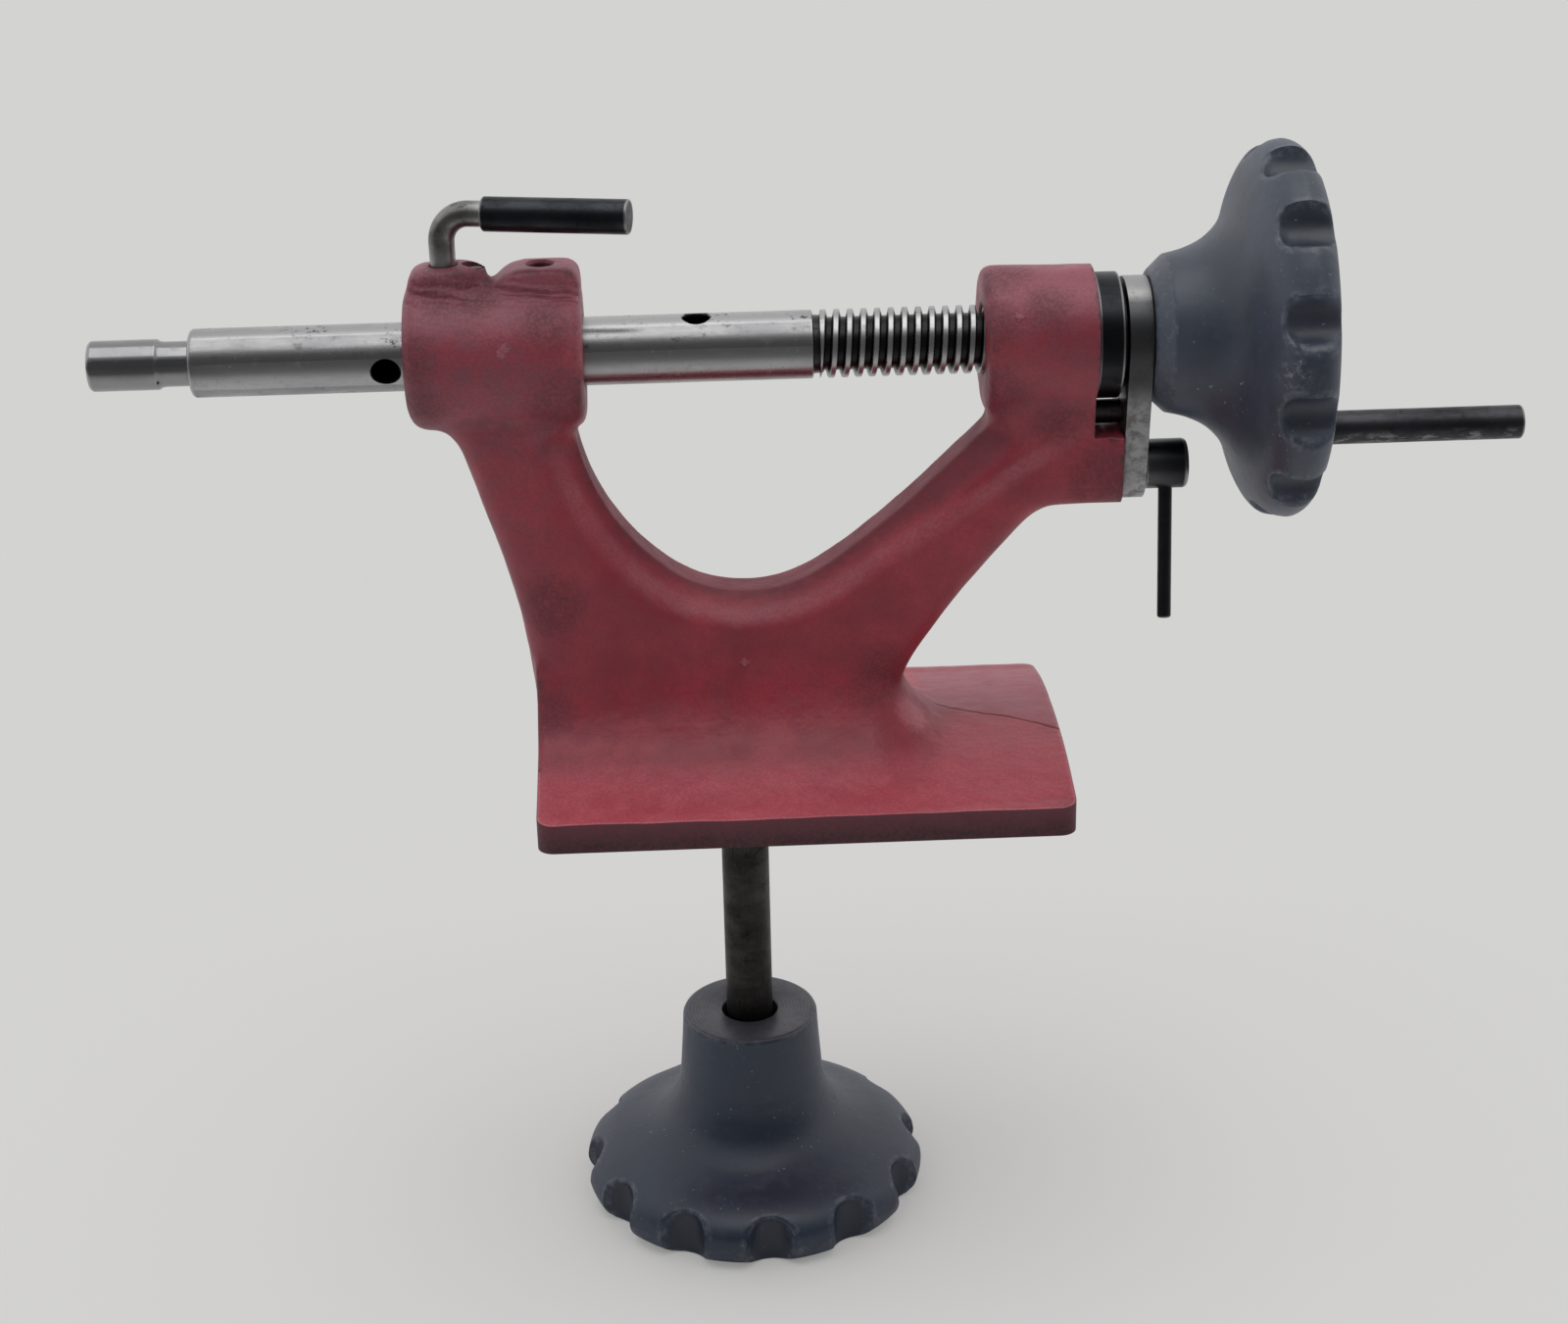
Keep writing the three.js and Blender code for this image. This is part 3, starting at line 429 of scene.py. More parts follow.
bpy.data.objects.remove(mould)
carve(casting, "INTERSECT", kept)
carve(
    casting,
    "DIFFERENCE",
    block((-200, -80, -20), (200, 80, 0)),
    block((BOSS_REAR, -80, -20), (200, 80, 200)),
    block((BARREL_REAR, -80, BOSS_TOP), (200, 80, 200)),
)
front_bore = [
    (-113.9, 0), (-113.9, 11.6), (-112.4, BORE_RADIUS), (-62.2, BORE_RADIUS), (-60.8, 11.6), (-60.8, 0)
]
rear_bore = [
    (54.0, 0), (54.0, 11.8), (55.8, BORE_RADIUS), (61.8, BORE_RADIUS), (61.8, 13.4), (90, 13.4), (90, 0)
]
lever_hole = [(130, 0), (130, 4.05), (163.2, 4.05), (164.4, 5.0), (164.4, 0)]
oil_hole = [(130, 0), (130, 3.7), (162.4, 3.7), (163.7, 4.6), (163.7, 0)]
carve(
    casting,
    "DIFFERENCE",
    turned(front_bore, ALONG, SPINDLE),
    turned(rear_bore, ALONG, SPINDLE),
    block((-101.6, -2.8, 123.4), (-73.0, 2.8, 136.6)),
    turned(lever_hole, UP, LEVER_AXIS, 48),
    rod(3.3, 150, 166, UP, GRUB_AXIS, steps=48),
    turned(oil_hole, UP, OIL_AXIS, 48),
    rod(3.9, 76.8, 90, ALONG, DOWEL_AXIS, steps=48),
    rod(5.2, 70.5, 99, ALONG, CLAMP_AXIS, steps=48),
    rod(8.25, -1, 30.3, UP, STUD_AXIS, steps=64),
)
edge_marks(casting)

casting_paint, shader, place = new_finish("casting_paint")
proud, sheltered = mark(place, "proud"), mark(place, "sheltered")
x, y, z = place.part("X"), place.part("Y"), place.part("Z")


def dabs(places, ragged, soft):
    """Ragged round marks at the given places, as (centre, radius) pairs."""
    mask = None
    for centre, reach in places:
        one = 1 - (place.apart(centre) + ragged).between(reach, reach + soft)
        mask = one if mask is None else mask.most(one)
    return mask


cloudy = place.spots(26, 3, 0.6).between(0.36, 0.66)
patchy = place.spots(7, 4, 0.6, shift=(40, 0, 0)).between(0.42, 0.68)
grain = place.spots(0.9, 2, 0.6)
fine = place.spots(3.4, 5, 0.7, shift=(0, 9, 0))
dusty = z.between(96, 122) * 0.55 + (1 - x.between(-92, -52)) * 0.5
red = cloudy.blend(tint("ad3a48"), tint("963140"))
red = (dusty * (0.55 + patchy * 0.45)).blend(red, tint("864b56"))
red = (patchy * 0.28).blend(red, tint("8a434e"))
# Painted light: the top of the base is painted a lighter red, where the light from above falls.
lit_base_top = z.between(7.5, 8.5) * (1 - z.between(13.0, 19.0))
red = (lit_base_top * (0.50 + patchy * 0.25)).blend(red, tint("cf5d69"))
# Painted sheen: the upper parts of the barrels and lugs are painted a paler pink.
red = (z.between(143, 153) * 0.42).blend(red, tint("b0697a"))

# The base's edge: how far each place lies past the centres of its rounded corners.
side, front = (x - BASE_MIDDLE).unsigned(), y.unsigned()
past_side, past_front = (side - CORNER_SIDE).most(0.0), (front - CORNER_FRONT).most(0.0)
to_rim = (past_side * past_side + past_front * past_front) ** 0.5 * (1 - z.between(15.9, 16.1))
edge_band = to_rim.between(4.75, 4.95)

# Painted shade mixed with soot in the hollow corners, and soot and oil in smears round the bores and at
# the web's ends.
sooty_places = [
    ((-100.2, -7, 157.0), 5.5), ((-93.0, -9, 156.5), 3.5), ((-71.3, -17.4, 149.4), 3.0),
    ((-68.5, -18.7, 125.7), 5.5), ((-109.6, -18.6, 125.7), 4.0), ((-111.5, -20, 141.0), 3.0),
    ((55.9, -8, 157.0), 4.0), ((55.0, -19, 147.0), 4.5), ((57.5, -17.5, 124.1), 5.0),
    ((62.7, -4, 158.5), 3.0), ((72.0, -16.9, 149.9), 2.5), ((91.0, -14, 95.0), 7.0),
    ((76.3, -16, 115.0), 2.5), ((-77.4, -14, 27.0), 4.5), ((-74.0, -14, 62.0), 5.0),
    ((24.0, -14, 36.0), 5.0), ((77.5, -54.0, 8.6), 0.2),
]
sooty = dabs(sooty_places, (fine - 0.5) * 12, 9.0)
# Painted shade: the hollow corners are darkened in patches.
darkening = (sheltered * 2.2).least(0.8) * place.spots(5, 3, 0.6, shift=(0, 9, 0)).between(0.35, 0.6)
speckled = 0.22 + grain.between(0.35, 0.6) * 0.25 + fine.between(0.4, 0.62) * 0.2
darkening = darkening.most(sooty * speckled)

# The throat's lip: how far each place lies outside the throat's outline.
side_view = place.node("CombineXYZ", {}, {0: x, 1: 0.0, 2: z})
from_floor = side_view.apart(FLOOR_ARC) - FLOOR_RADIUS
from_leg = side_view.apart(LEG_ARC) - LEG_RADIUS
up_arm, over_foot = x - SLOPE_FOOT[0], z - SLOPE_FOOT[1]
from_slope = up_arm * 0.60 - over_foot * 0.80 - up_arm * 0.06
on_arm = x.between(4.0, 8.0)
on_leg = 1 - x.between(-44.0, -38.0)
lip = on_arm.node("Mix", {}, {0: on_arm, 2: from_floor, 3: from_slope})
lip = on_leg.node("Mix", {}, {0: on_leg, 2: lip, 3: from_leg})
at_lip = 1 - (lip + (fine - 0.5) * 5).between(0.2, 3.6)
at_lip = at_lip * (1 - z.between(108, 114)) * (1 - front.between(10, 14))
# The throat's very lip is darkened as well.
darkening = darkening.most(at_lip * 0.5)
# Painted highlight: a paler band along the rounded shoulder a few millimetres below the throat's lip.
lip_highlight = lip.between(2.6, 5.0) * (1 - lip.between(6.5, 10.5))
lip_highlight = lip_highlight * (1 - z.between(104, 114)) * front.between(5, 9)
red = (lip_highlight * (0.30 + patchy * 0.15)).blend(red, tint("bd6d78"))
red = darkening.blend(red, tint("4c2a31"))

# Paint rubbed through at the edges, and the base's dark bare edge.
on_rim = to_rim.between(3.0, 3.9)
uneven = place.spots(3, 4, 0.65, shift=(0, 0, 30)).between(0.45, 0.62)
worn = proud.between(0.10, 0.42) * uneven * (1 - on_rim)
red = (worn * 0.75).blend(red, tint("4b3a3d"))
low_edge = (1 - (z + (fine - 0.5) * 5).between(1.0, 8.0)).blend(tint("5a3039"), tint("2f1f22"))
red = (edge_band * 0.95).blend(red, low_edge)

# Pimples under the paint, small chips, and painted highlights along the base's top edge and on a few
# rounded places.
chips = place.spots(2.6, 3, 0.7, shift=(7, 70, 0)).between(0.745, 0.770)
pimple_places = [
    ((-46.5, -12, 74.6), 1.4), ((-48.5, -9, 79.0), 0.9), ((-23.4, -13.5, 59.3), 1.1),
    ((-8.9, -15, 21.4), 0.9), ((-17.4, -14, 41.9), 0.9), ((-24.6, -16, 19.1), 1.2),
    ((67.8, -0.5, 11.0), 1.0), ((-83.4, -20.4, 143.7), 0.9), ((-84.6, -20.6, 142.2), 0.7),
    ((61.5, 26.5, 12.5), 1.3), ((64.0, -18.0, 148.0), 0.8),
]
pimples = dabs(pimple_places, (grain - 0.5) * 2.0, 0.9)
# Painted highlights: a thin pale line along the top edge of the base, and pale dabs on the web's fillet
# and round the front barrel's right end.
highlight_places = [((33.0, -13.0, 22.0), 3.0), ((-59.4, -8.0, 118.5), 1.5), ((-61.8, -14.0, 141.0), 4.0)]
pale = dabs(highlight_places, (fine - 0.5) * 9, 5.0)
crest_highlight = to_rim.between(3.9, 4.5) * (1 - edge_band) * z.between(7.4, 7.8)
red = (crest_highlight * 0.5).most(pale * 0.45).blend(red, tint("cf7f88"))
red = (pimples * 0.25 + chips * 0.5).blend(red, tint("c98b93"))
red = (grain.between(0.35, 0.65) * 0.30).blend(red, tint("7c2c38"))

# The mould's parting line across the base beside the arm, and folds of paint below the lugs.
seam_side = (x - 56.8) * 0.507 + (y - 0.65) * 0.862 + (place.spots(12, 2, 0.5) - 0.5) * 7
on_top = z.between(8.8, 9.6) * (1 - z.between(15.8, 17.0)) * x.between(36.0, 41.0)
seam = (1 - seam_side.unsigned().between(0.1, 0.9)) * on_top
red = (seam_side.between(-0.5, 3.0) * on_top * 0.45).blend(red, tint("96606a"))
red = (seam * 0.6).blend(red, tint("5c2a33"))
wander = (place.spots(9, 2, 0.5, stretch=(0.5, 1, 1)) - 0.5) * 9
folds = ((z + x * 0.08 + wander) * 1.9).sine()
below_lugs = z.between(153.5, 155.5) * (1 - z.between(159.0, 161.5))
below_lugs = below_lugs * (1 - y.between(-9, -4)) * (1 - x.between(-58, -56))
swells = place.spots(9, 3, 0.5) * 0.50 + place.spots(2.2, 3, 0.55) * 0.14 + grain * 0.03
step = seam_side.between(-0.6, 0.6) * on_top * 0.35 - seam * 0.25
feed(
    shader,
    Base_Color=red,
    Roughness=0.42 + patchy * 0.10 + darkening * 0.2 + edge_band * 0.15,
    Normal=relief(swells - chips * 0.03 + pimples * 0.35 + step + folds * below_lugs * 0.30),
)
finished(casting, casting_paint, "frame", ["tailstock_casting"], crease=42)

# ======================================================================================
# Quill. A ground 20 mm steel bar that slides in the two barrels. Its nose end has a
# tapered socket, its rear half a left-hand trapezoidal thread of 4 mm pitch, with a
# run-out groove, a drift hole at each half and a keyway underneath.
# ======================================================================================
PITCH = 4.0
THREAD_START = 7.3
QUILL_START, QUILL_END = -175.5, 104.0
QUILL_RADIUS, QUILL_END_RADIUS = 10.0, 8.2
SPIN_STEPS = 80
tooth = [
    (-1.335, 7.75), (-0.80, 9.82), (-0.62, QUILL_RADIUS),
    (0.62, QUILL_RADIUS), (0.80, 9.82), (1.335, 7.75),
]
points = [(9.4 + PITCH * i + shift, radius) for i in range(-2, 27) for shift, radius in tooth]
worm = bmesh.new()
ring = [worm.verts.new((along, radius, 0)) for along, radius in points]
lines = [worm.edges.new(pair) for pair in zip(ring, ring[1:])]
bmesh.ops.spin(
    worm,
    geom=ring + lines,
    cent=(0, 0, 0),
    axis=(1, 0, 0),
    dvec=(-PITCH / SPIN_STEPS, 0, 0),
    angle=math.tau,
    steps=SPIN_STEPS,
)
bmesh.ops.remove_doubles(worm, verts=worm.verts, dist=0.01)
for end, way in ((THREAD_START, -ALONG), (QUILL_END, ALONG)):
    cut = bmesh.ops.bisect_plane(
        worm,
        geom=worm.verts[:] + worm.edges[:] + worm.faces[:],
        dist=1e-5,
        plane_co=ALONG * end,
        plane_no=way,
        clear_outer=True,
    )["geom_cut"]
    rim = [edge for edge in cut if isinstance(edge, bmesh.types.BMEdge)]
    bmesh.ops.holes_fill(worm, edges=rim, sides=0)
bmesh.ops.recalc_face_normals(worm, faces=worm.faces)
bmesh.ops.triangulate(worm, faces=[f for f in worm.faces if len(f.verts) > 4])
for vert in worm.verts:  # the thread is chamfered at its end
    radius = math.hypot(vert.co.y, vert.co.z)
    inward = min(1, (QUILL_END_RADIUS + (QUILL_END - vert.co.x)) / radius)
    vert.co.y, vert.co.z = vert.co.y * inward, vert.co.z * inward
bmesh.ops.translate(worm, vec=SPINDLE, verts=worm.verts)


def drift_hole(x, tilt):
    """A countersunk hole from the spindle's line out, tilted up from the front by so many degrees."""
    away = Vector((0, -math.cos(math.radians(tilt)), math.sin(math.radians(tilt))))
    profile = [(0, 0), (0, 4), (9.0, 4), (9.6, 4.25), (10.6, 4.9), (10.6, 0)]
    return turned(profile, away, SPINDLE + ALONG * x, 48)


plain_half = [
    (QUILL_START, 0), (QUILL_START, 9.1), (-175.3, 9.5), (-174.8, 9.9), (-174.4, QUILL_RADIUS),
    (5.0, QUILL_RADIUS), (5.3, 9.7), (5.5, 8.6), (THREAD_START + 1, 8.4), (THREAD_START + 1, 0),
]
socket = [(-177, 0), (-177, 7.6), (QUILL_START, 7.1), (-175.1, 6.9), (-133.5, 6.0), (-133.5, 0)]
quill = piece_of("quill_bar", turned(plain_half, ALONG, SPINDLE, 128))
carve(quill, "UNION", worm)
carve(
    quill,
    "DIFFERENCE",
    turned(socket, ALONG, SPINDLE, 64),
    rod(5, -150, 110),
    block((-148.3, -2.8, 120), (-41.3, 2.8, 129.5)),
    drift_hole(-118.6, -10),
    drift_hole(-28.5, 82),
)
edge_marks(quill, 1)


def steel(name, light, dark, roughness, pits=0.3, stretch=(0.05, 1, 1)):
    """Worn machined steel: cloudy tone, fine scratches along one direction, stains and dark pits."""
    material, shader, place = new_finish(name, Metallic=1.0)
    proud = mark(place, "proud")
    tone = place.spots(9, 5, 0.65, stretch=(0.4, 1, 1)).between(0.34, 0.68)
    streak = place.spots(0.55, 3, 0.6, stretch=stretch)
    speck = place.spots(0.75, 2, 0.5, shift=(3, 5, 8)).between(0.70 - 0.06 * pits, 0.76)
    speck = speck * place.spots(11, 3, 0.6, shift=(0, 31, 0)).between(0.42, 0.62)
    stain = place.spots(4.5, 5, 0.7, shift=(60, 0, 0)).between(0.55, 0.70)
    colour = (tone * 0.6 + streak * 0.4).blend(tint(light), tint(dark))
    colour = (stain * 0.55 * pits).blend(colour, tint("2a2726"))
    colour = (speck * min(1.0, 1.6 * pits)).blend(colour, tint("191817"))
    colour = (proud.between(0.12, 0.5) * 0.55).blend(colour, tint("c4c4c3"))
    feed(
        shader,
        Base_Color=colour,
        Roughness=roughness + tone * 0.08 + stain * 0.16 + speck * 0.2 + (streak - 0.5) * 0.12,
        Normal=relief(streak * 0.006 + place.spots(3, 2, 0.5) * 0.014 - speck * 0.05),
    )
    return material, shader, place, colour


turned_steel, shader, place, colour = steel("turned_steel", "a6a6a5", "868688", 0.26, pits=0.35)
y, z = place.part("Y"), place.part("Z") - SPINDLE.z
from_axis = (y * y + z * z) ** 0.5
# Painted shade: everything nearer the axis than the outer skin is darkened, in the socket, bore, drift
# holes, groove and thread roots.
shade_inside = 1 - from_axis.between(8.3, 9.75)
nicked = place.spots(1.6, 4, 0.7, stretch=(0.7, 1, 1)).between(0.56, 0.63) * z.between(2.5, 5.0)
nicked = nicked * place.spots(16, 2, 0.5, shift=(5, 0, 0)).between(0.48, 0.60)
colour = (nicked * 0.8).blend(colour, tint("2c2a29"))
feed(shader, Base_Color=(shade_inside * 0.94).blend(colour, tint("1b1a1b")))
finished(quill, turned_steel, "quill", ["quill"])

# Nose insert. A hardened pin in the quill's socket, ground bright, with a turned-down neck
# where it enters. It is held by its taper.
pin = [
    (-205.2, 0), (-205.2, 4.6), (-205.1, 6.2), (-204.9, 6.9), (-204.4, 7.3), (-204.0, 7.4),
    (-185.4, 7.4), (-185.1, 7.3), (-184.6, 6.85), (-183.6, 6.65), (-182.7, 6.6),
    (QUILL_START, 6.6), (-133.8, 5.7), (-133.8, 0),
]
nose = piece_of("nose_pin", turned(pin, ALONG, SPINDLE))
edge_marks(nose, 1)
polished_steel = steel("polished_steel", "9c9c9c", "8a8a8b", 0.09, pits=0.1, stretch=(6, 0.3, 0.3))[0]
finished(nose, polished_steel, "quill", ["nose_insert"])

# Quill key. A plain steel feather key, driven into the casting under the front bore, which
# keeps the quill from turning with the screw.
key = piece_of("feather_key", block((-101.3, -2.5, 123.7), (-73.3, 2.5, 129.2), 0.3))
edge_marks(key, 0)
grey_steel = steel("grey_steel", "85837f", "565452", 0.42, pits=0.8, stretch=(1, 1, 0.4))[0]
finished(key, grey_steel, "frame", ["quill_key"])

# ======================================================================================
# Feed. The screw nut is one turned steel piece, a blackened flange with a long sleeve that
# carries the wheel. A thin washer and the tear-drop keeper plate hold its flange to the
# barrel, and a dowel and a clamp screw with a fixed bar hold the keeper.
# ======================================================================================
NUT_LEFT, NUT_RIGHT = 87.4, 94.9
FLANGE_RADIUS = 18.5
SLEEVE_RADIUS = 13
black_steel = steel("black_steel", "343538", "202123", 0.32, pits=0.3)[0]
flange = [
    (NUT_LEFT, SLEEVE_RADIUS), (NUT_LEFT, 18.0), (NUT_LEFT + 0.15, 18.35),
    (NUT_LEFT + 0.5, FLANGE_RADIUS), (94.4, FLANGE_RADIUS), (94.75, 18.35),
    (NUT_RIGHT, 18.0), (NUT_RIGHT, SLEEVE_RADIUS),
]
sleeve_end = [(141.7, SLEEVE_RADIUS), (141.7, 12.3), (147.5, 12.3), (148.0, 11.8), (148.0, 0)]
nut_bore = [
    (61.6, 0), (61.6, 11.4), (63, BORE_RADIUS), (146.9, BORE_RADIUS), (148.4, 11.4), (148.4, 0)
]
nut_form = [(62.1, 0), (62.1, 12.4), (62.7, SLEEVE_RADIUS), *flange, *sleeve_end]
nut = piece_of("screw_nut_turned", turned(nut_form, ALONG, SPINDLE, 128))
carve(
    nut,
    "DIFFERENCE",
    turned(nut_bore, ALONG, SPINDLE),
    block((111.5, -2.3, 147.9), (130.1, 2.3, 160)),
)
edge_marks(nut, 1)
finished(nut, black_steel, "handwheel", ["screw_nut"])

washer = piece_of("nut_washer", rod(15.2, 95.2, 96.0, edge=0.2, steps=96))
carve(washer, "DIFFERENCE", rod(13.3, 90, 100))
finished(washer, black_steel, "frame", ["thrust_washer"])

KEEPER_LEFT, KEEPER_RIGHT = 96.3, 103.5
KEEPER_HEAD, KEEPER_TAIL = 17.2, 9.9
plate = bmesh.new()
lean = math.asin((KEEPER_HEAD - KEEPER_TAIL) / CLAMP_DROP)
outline = []
for centre_z, radius, first, last in (
    (SPINDLE_HEIGHT, KEEPER_HEAD, -lean, math.pi + lean),
    (SPINDLE_HEIGHT - CLAMP_DROP, KEEPER_TAIL, math.pi + lean, math.tau - lean),
):
    for i in range(41):
        angle = first + (last - first) * i / 40
        corner = (KEEPER_LEFT, radius * math.cos(angle), centre_z + radius * math.sin(angle))
        outline.append(plate.verts.new(corner))
face = plate.faces.new(outline)
bmesh.ops.extrude_face_region(plate, geom=[face])
for vert in outline:
    vert.co.x = KEEPER_RIGHT
bmesh.ops.remove_doubles(plate, verts=plate.verts, dist=1e-3)
bmesh.ops.recalc_face_normals(plate, faces=plate.faces)
rims = [e for e in plate.edges if any(len(f.verts) > 10 for f in e.link_faces)]
bmesh.ops.bevel(
    plate, geom=rims, offset=0.35, affect="EDGES", segments=2, profile=0.5, material=-1
)
keeper = piece_of("keeper_tear_drop", plate)
carve(
    keeper,
    "DIFFERENCE",
    rod(13.4, 90, 110),
    rod(3.9, 90, 110, ALONG, DOWEL_AXIS, steps=48),
    rod(5.3, 90, 110, ALONG, CLAMP_AXIS, steps=48),
)
edge_marks(keeper, 1)
keeper_steel, shader, place, colour = steel(
    "keeper_steel", "8c8a87", "55524f", 0.36, pits=0.9, stretch=(1, 1, 0.5)
)
z = place.part("Z")
mottled = place.spots(3.2, 5, 0.7, shift=(0, 2, 0)).between(0.42, 0.62) * (1 - z.between(112, 132))
colour = (mottled * 0.5).blend(colour, tint("3c3836"))
# Painted shade: the keeper's head, sunk between the nut's flange and the wheel's hub, is darkened, all
# but its very top.
shade_by_nut = z.between(116, 128) * (1 - z.between(149, 152))
feed(shader, Base_Color=(shade_by_nut * 0.8).blend(colour, tint("26282c")))
finished(keeper, keeper_steel, "frame", ["keeper_plate"])

dowel = piece_of("keeper_pin", rod(3.6, 77.1, 103.0, ALONG, DOWEL_AXIS, edge=0.5, steps=48))
edge_marks(dowel, 0)
finished(dowel, grey_steel, "frame", ["keeper_dowel"])

swing = math.radians(8.6)
bar_way = Vector((0, -math.sin(swing), -math.cos(swing)))
bar_root = CLAMP_AXIS + ALONG * (KEEPER_RIGHT + 0.3 + 6.9)
shank_and_head = [
    (71.5, 0), (71.5, 3.9), (72.5, 4.9), (103.8, 4.9), (103.8, 7.0), (104.2, 7.45), (115.6, 7.45),
    (116.3, 7.2), (116.7, 6.7), (116.8, 6.0), (116.8, 0),
]
screw = piece_of("clamp_screw_turned", turned(shank_and_head, ALONG, CLAMP_AXIS, 64))
carve(screw, "DIFFERENCE", rod(2.4, -2, 9, bar_way, bar_root, steps=40))
edge_marks(screw, 1)
finished(screw, black_steel, "clamp_screw", ["clamp_screw"])
bar = piece_of("clamp_tommy_bar", rod(2.1, -1.7, 47.5, bar_way, bar_root, edge=0.5, steps=40))
edge_marks(bar, 0)
finished(bar, black_steel, "clamp_screw", ["clamp_screw_bar"])

# ======================================================================================
# Handwheel. A scalloped cast wheel with a conical flank and a dished outer face, enamelled
# dark slate blue and rubbed pale at its edges. It sits on the nut's sleeve with a key and a
# ring nut, and a plain bar in its dish cranks it.
# ======================================================================================
WHEEL_FACE = 103.8
RIM_PLANE, RIM_RADIUS, RIM_ROUND = 38.6, 55.56, 7.6
SCOOPS, SCOOP_RADIUS, SCOOP_DEPTH = 12, 7.4, 6.8
hub_end = [(0, 0), (0, 17.9), (0.25, 18.7), (0.7, 19.3), (4.2, 22.6)]
flank = [
    (4.9, 23.2), (11.2, 24.8), (17.4, 27.9), (22.4, 33.0), (25.4, 39.16), (28.0, 46.56),
    (31.0, 51.76), (34.6, 54.66), (RIM_PLANE, RIM_RADIUS),
]
dish = [
    (46.2, 44.5), (46.1, 42.2), (45.6, 41.0), (44.6, 40.2), (36.6, 36.9), (34.4, 35.6),
    (33.4, 34.0), (33.2, 31.5), (33.2, 23.5), (33.5, 22.0), (34.3, 21.1), (37.2, 20.3),
    (37.9, 20.0), (38.2, 19.3), (38.2, 0),
]


def bent(p0, p1, p2, p3, t):
    """A smooth curve through four values, at a share t of the way from the second to the third."""
    square = 2 * p0 - 5 * p1 + 4 * p2 - p3
    cube = 3 * p1 - p0 - 3 * p2 + p3
    return 0.5 * (2 * p1 + (p2 - p0) * t + square * t * t + cube * t ** 3)


def flank_and_face(steps=6):
    """Along the smooth flank, round the rim's outside edge and down into the dish."""
    points = [flank[0], *flank, flank[-1]]
    curve = [
        tuple(bent(*values, k / steps) for values in zip(*points[i - 1:i + 3]))
        for i in range(1, len(points) - 2)
        for k in range(steps)
    ]
    arc = [math.radians(90 - 9 * i) for i in range(1, 11)]
    middle = RIM_RADIUS - RIM_ROUND
    edge = [(RIM_PLANE + RIM_ROUND * math.cos(a), middle + RIM_ROUND * math.sin(a)) for a in arc]
    return [*curve, flank[-1], *edge, *dish]


def scalloped(profile, axis, centre, first_scoop, hub_extra):
    """A wheel turned from its profile, with round scoops pressed into its rim."""
    wheel = turned(profile, axis, centre, 264)
    across = UP if axis == ALONG else Vector((0, -1, 0))
    beside = axis.cross(across)
    orbit = RIM_RADIUS - SCOOP_DEPTH + SCOOP_RADIUS
    apart = 360 / SCOOPS
    soft = 1.1
    for vert in wheel.verts:
        from_centre = vert.co - centre
        along = from_centre.dot(axis)
        radial = from_centre - axis * along
        radius = radial.length
        if radius < 36 or along - hub_extra < 24:
            continue
        angle = math.degrees(math.atan2(radial.dot(beside), radial.dot(across)))
        off = math.radians((angle - first_scoop + apart / 2) % apart - apart / 2)
        ahead = max(0.0, 33.9 + hub_extra - along)
        scoop = SCOOP_RADIUS * SCOOP_RADIUS - ahead * ahead - (orbit * math.sin(off)) ** 2
        if scoop > 0:
            floor = orbit * math.cos(off) - math.sqrt(scoop)
            mix = min(1.0, max(0.0, 0.5 + (radius - floor) / (2 * soft) * 0.5))
            pressed = radius * (1 - mix) + floor * mix - soft * mix * (1 - mix)
            vert.co = centre + axis * along + radial * (min(radius, pressed) / radius)
        swell = (noise.noise(vert.co / 12) - 0.8) * 0.12
        vert.co += radial.normalized() * swell
    bmesh.ops.recalc_face_normals(wheel, faces=wheel.faces)
    return wheel


wheel_centre = SPINDLE + ALONG * WHEEL_FACE
wheel_form = [*hub_end, *flank_and_face()]
wheel = scalloped(wheel_form, ALONG, wheel_centre, first_scoop=11.7, hub_extra=0)
handwheel = piece_of("handwheel_cast", wheel)
CRANK_START, CRANK_LENGTH, CRANK_THROW = 132.5, 89.6, 38
crank_swing = math.radians(21)
crank_off = Vector((0, CRANK_THROW * math.sin(crank_swing), -CRANK_THROW * math.cos(crank_swing)))
crank_at = SPINDLE + crank_off
carve(
    handwheel,
    "DIFFERENCE",
    rod(13.3, 100, 160),
    block((111.5, -2.3, 140), (130.1, 2.3, 152.7)),
    rod(5.45, CRANK_START - 0.3, 160, ALONG, crank_at, steps=48),
)
edge_marks(handwheel, 1)


def wheel_enamel(name, deep, pale):
    """Slate blue enamel, chalky with age and thin at the sharp edges, with painted shade in the scoops.
    """
    material, shader, place = new_finish(name, Specular_IOR_Level=0.7)
    proud, sheltered = mark(place, "proud"), mark(place, "sheltered")
    cloudy = place.spots(24, 4, 0.6).between(0.35, 0.68)
    scuffs = place.spots(5, 5, 0.7, shift=(11, 0, 0)).between(0.50, 0.74)
    colour = cloudy.blend(tint(deep), tint(pale))
    colour = (scuffs * 0.25).blend(colour, tint("4b505a"))
    # Painted shade: the scoops and other hollows are darkened.
    colour = ((sheltered * 2.0).least(0.6)).blend(colour, tint("1b1f27"))
    uneven = place.spots(3, 4, 0.65, shift=(0, 40, 0)).between(0.42, 0.68)
    rubbed = proud.between(0.10, 0.30) * uneven
    colour = (rubbed * 0.35).blend(colour, tint("7d8187"))
    specks = place.spots(1.15, 2, 0.5, shift=(0, 0, 17)).between(0.695, 0.735)
    specks = specks * place.spots(14, 2, 0.5, shift=(0, 23, 0)).between(0.42, 0.62)
    colour = (specks * 0.5).blend(colour, tint("9aa0a6"))
    skin_height = place.spots(6, 3, 0.5) * 0.16 + place.spots(1.1, 3, 0.6) * 0.035 + specks * 0.03
    feed(
        shader,
        Base_Color=colour,
        Roughness=0.40 + scuffs * 0.12 + cloudy * 0.05,
        Normal=relief(skin_height),
    )
    return material, shader, place, colour


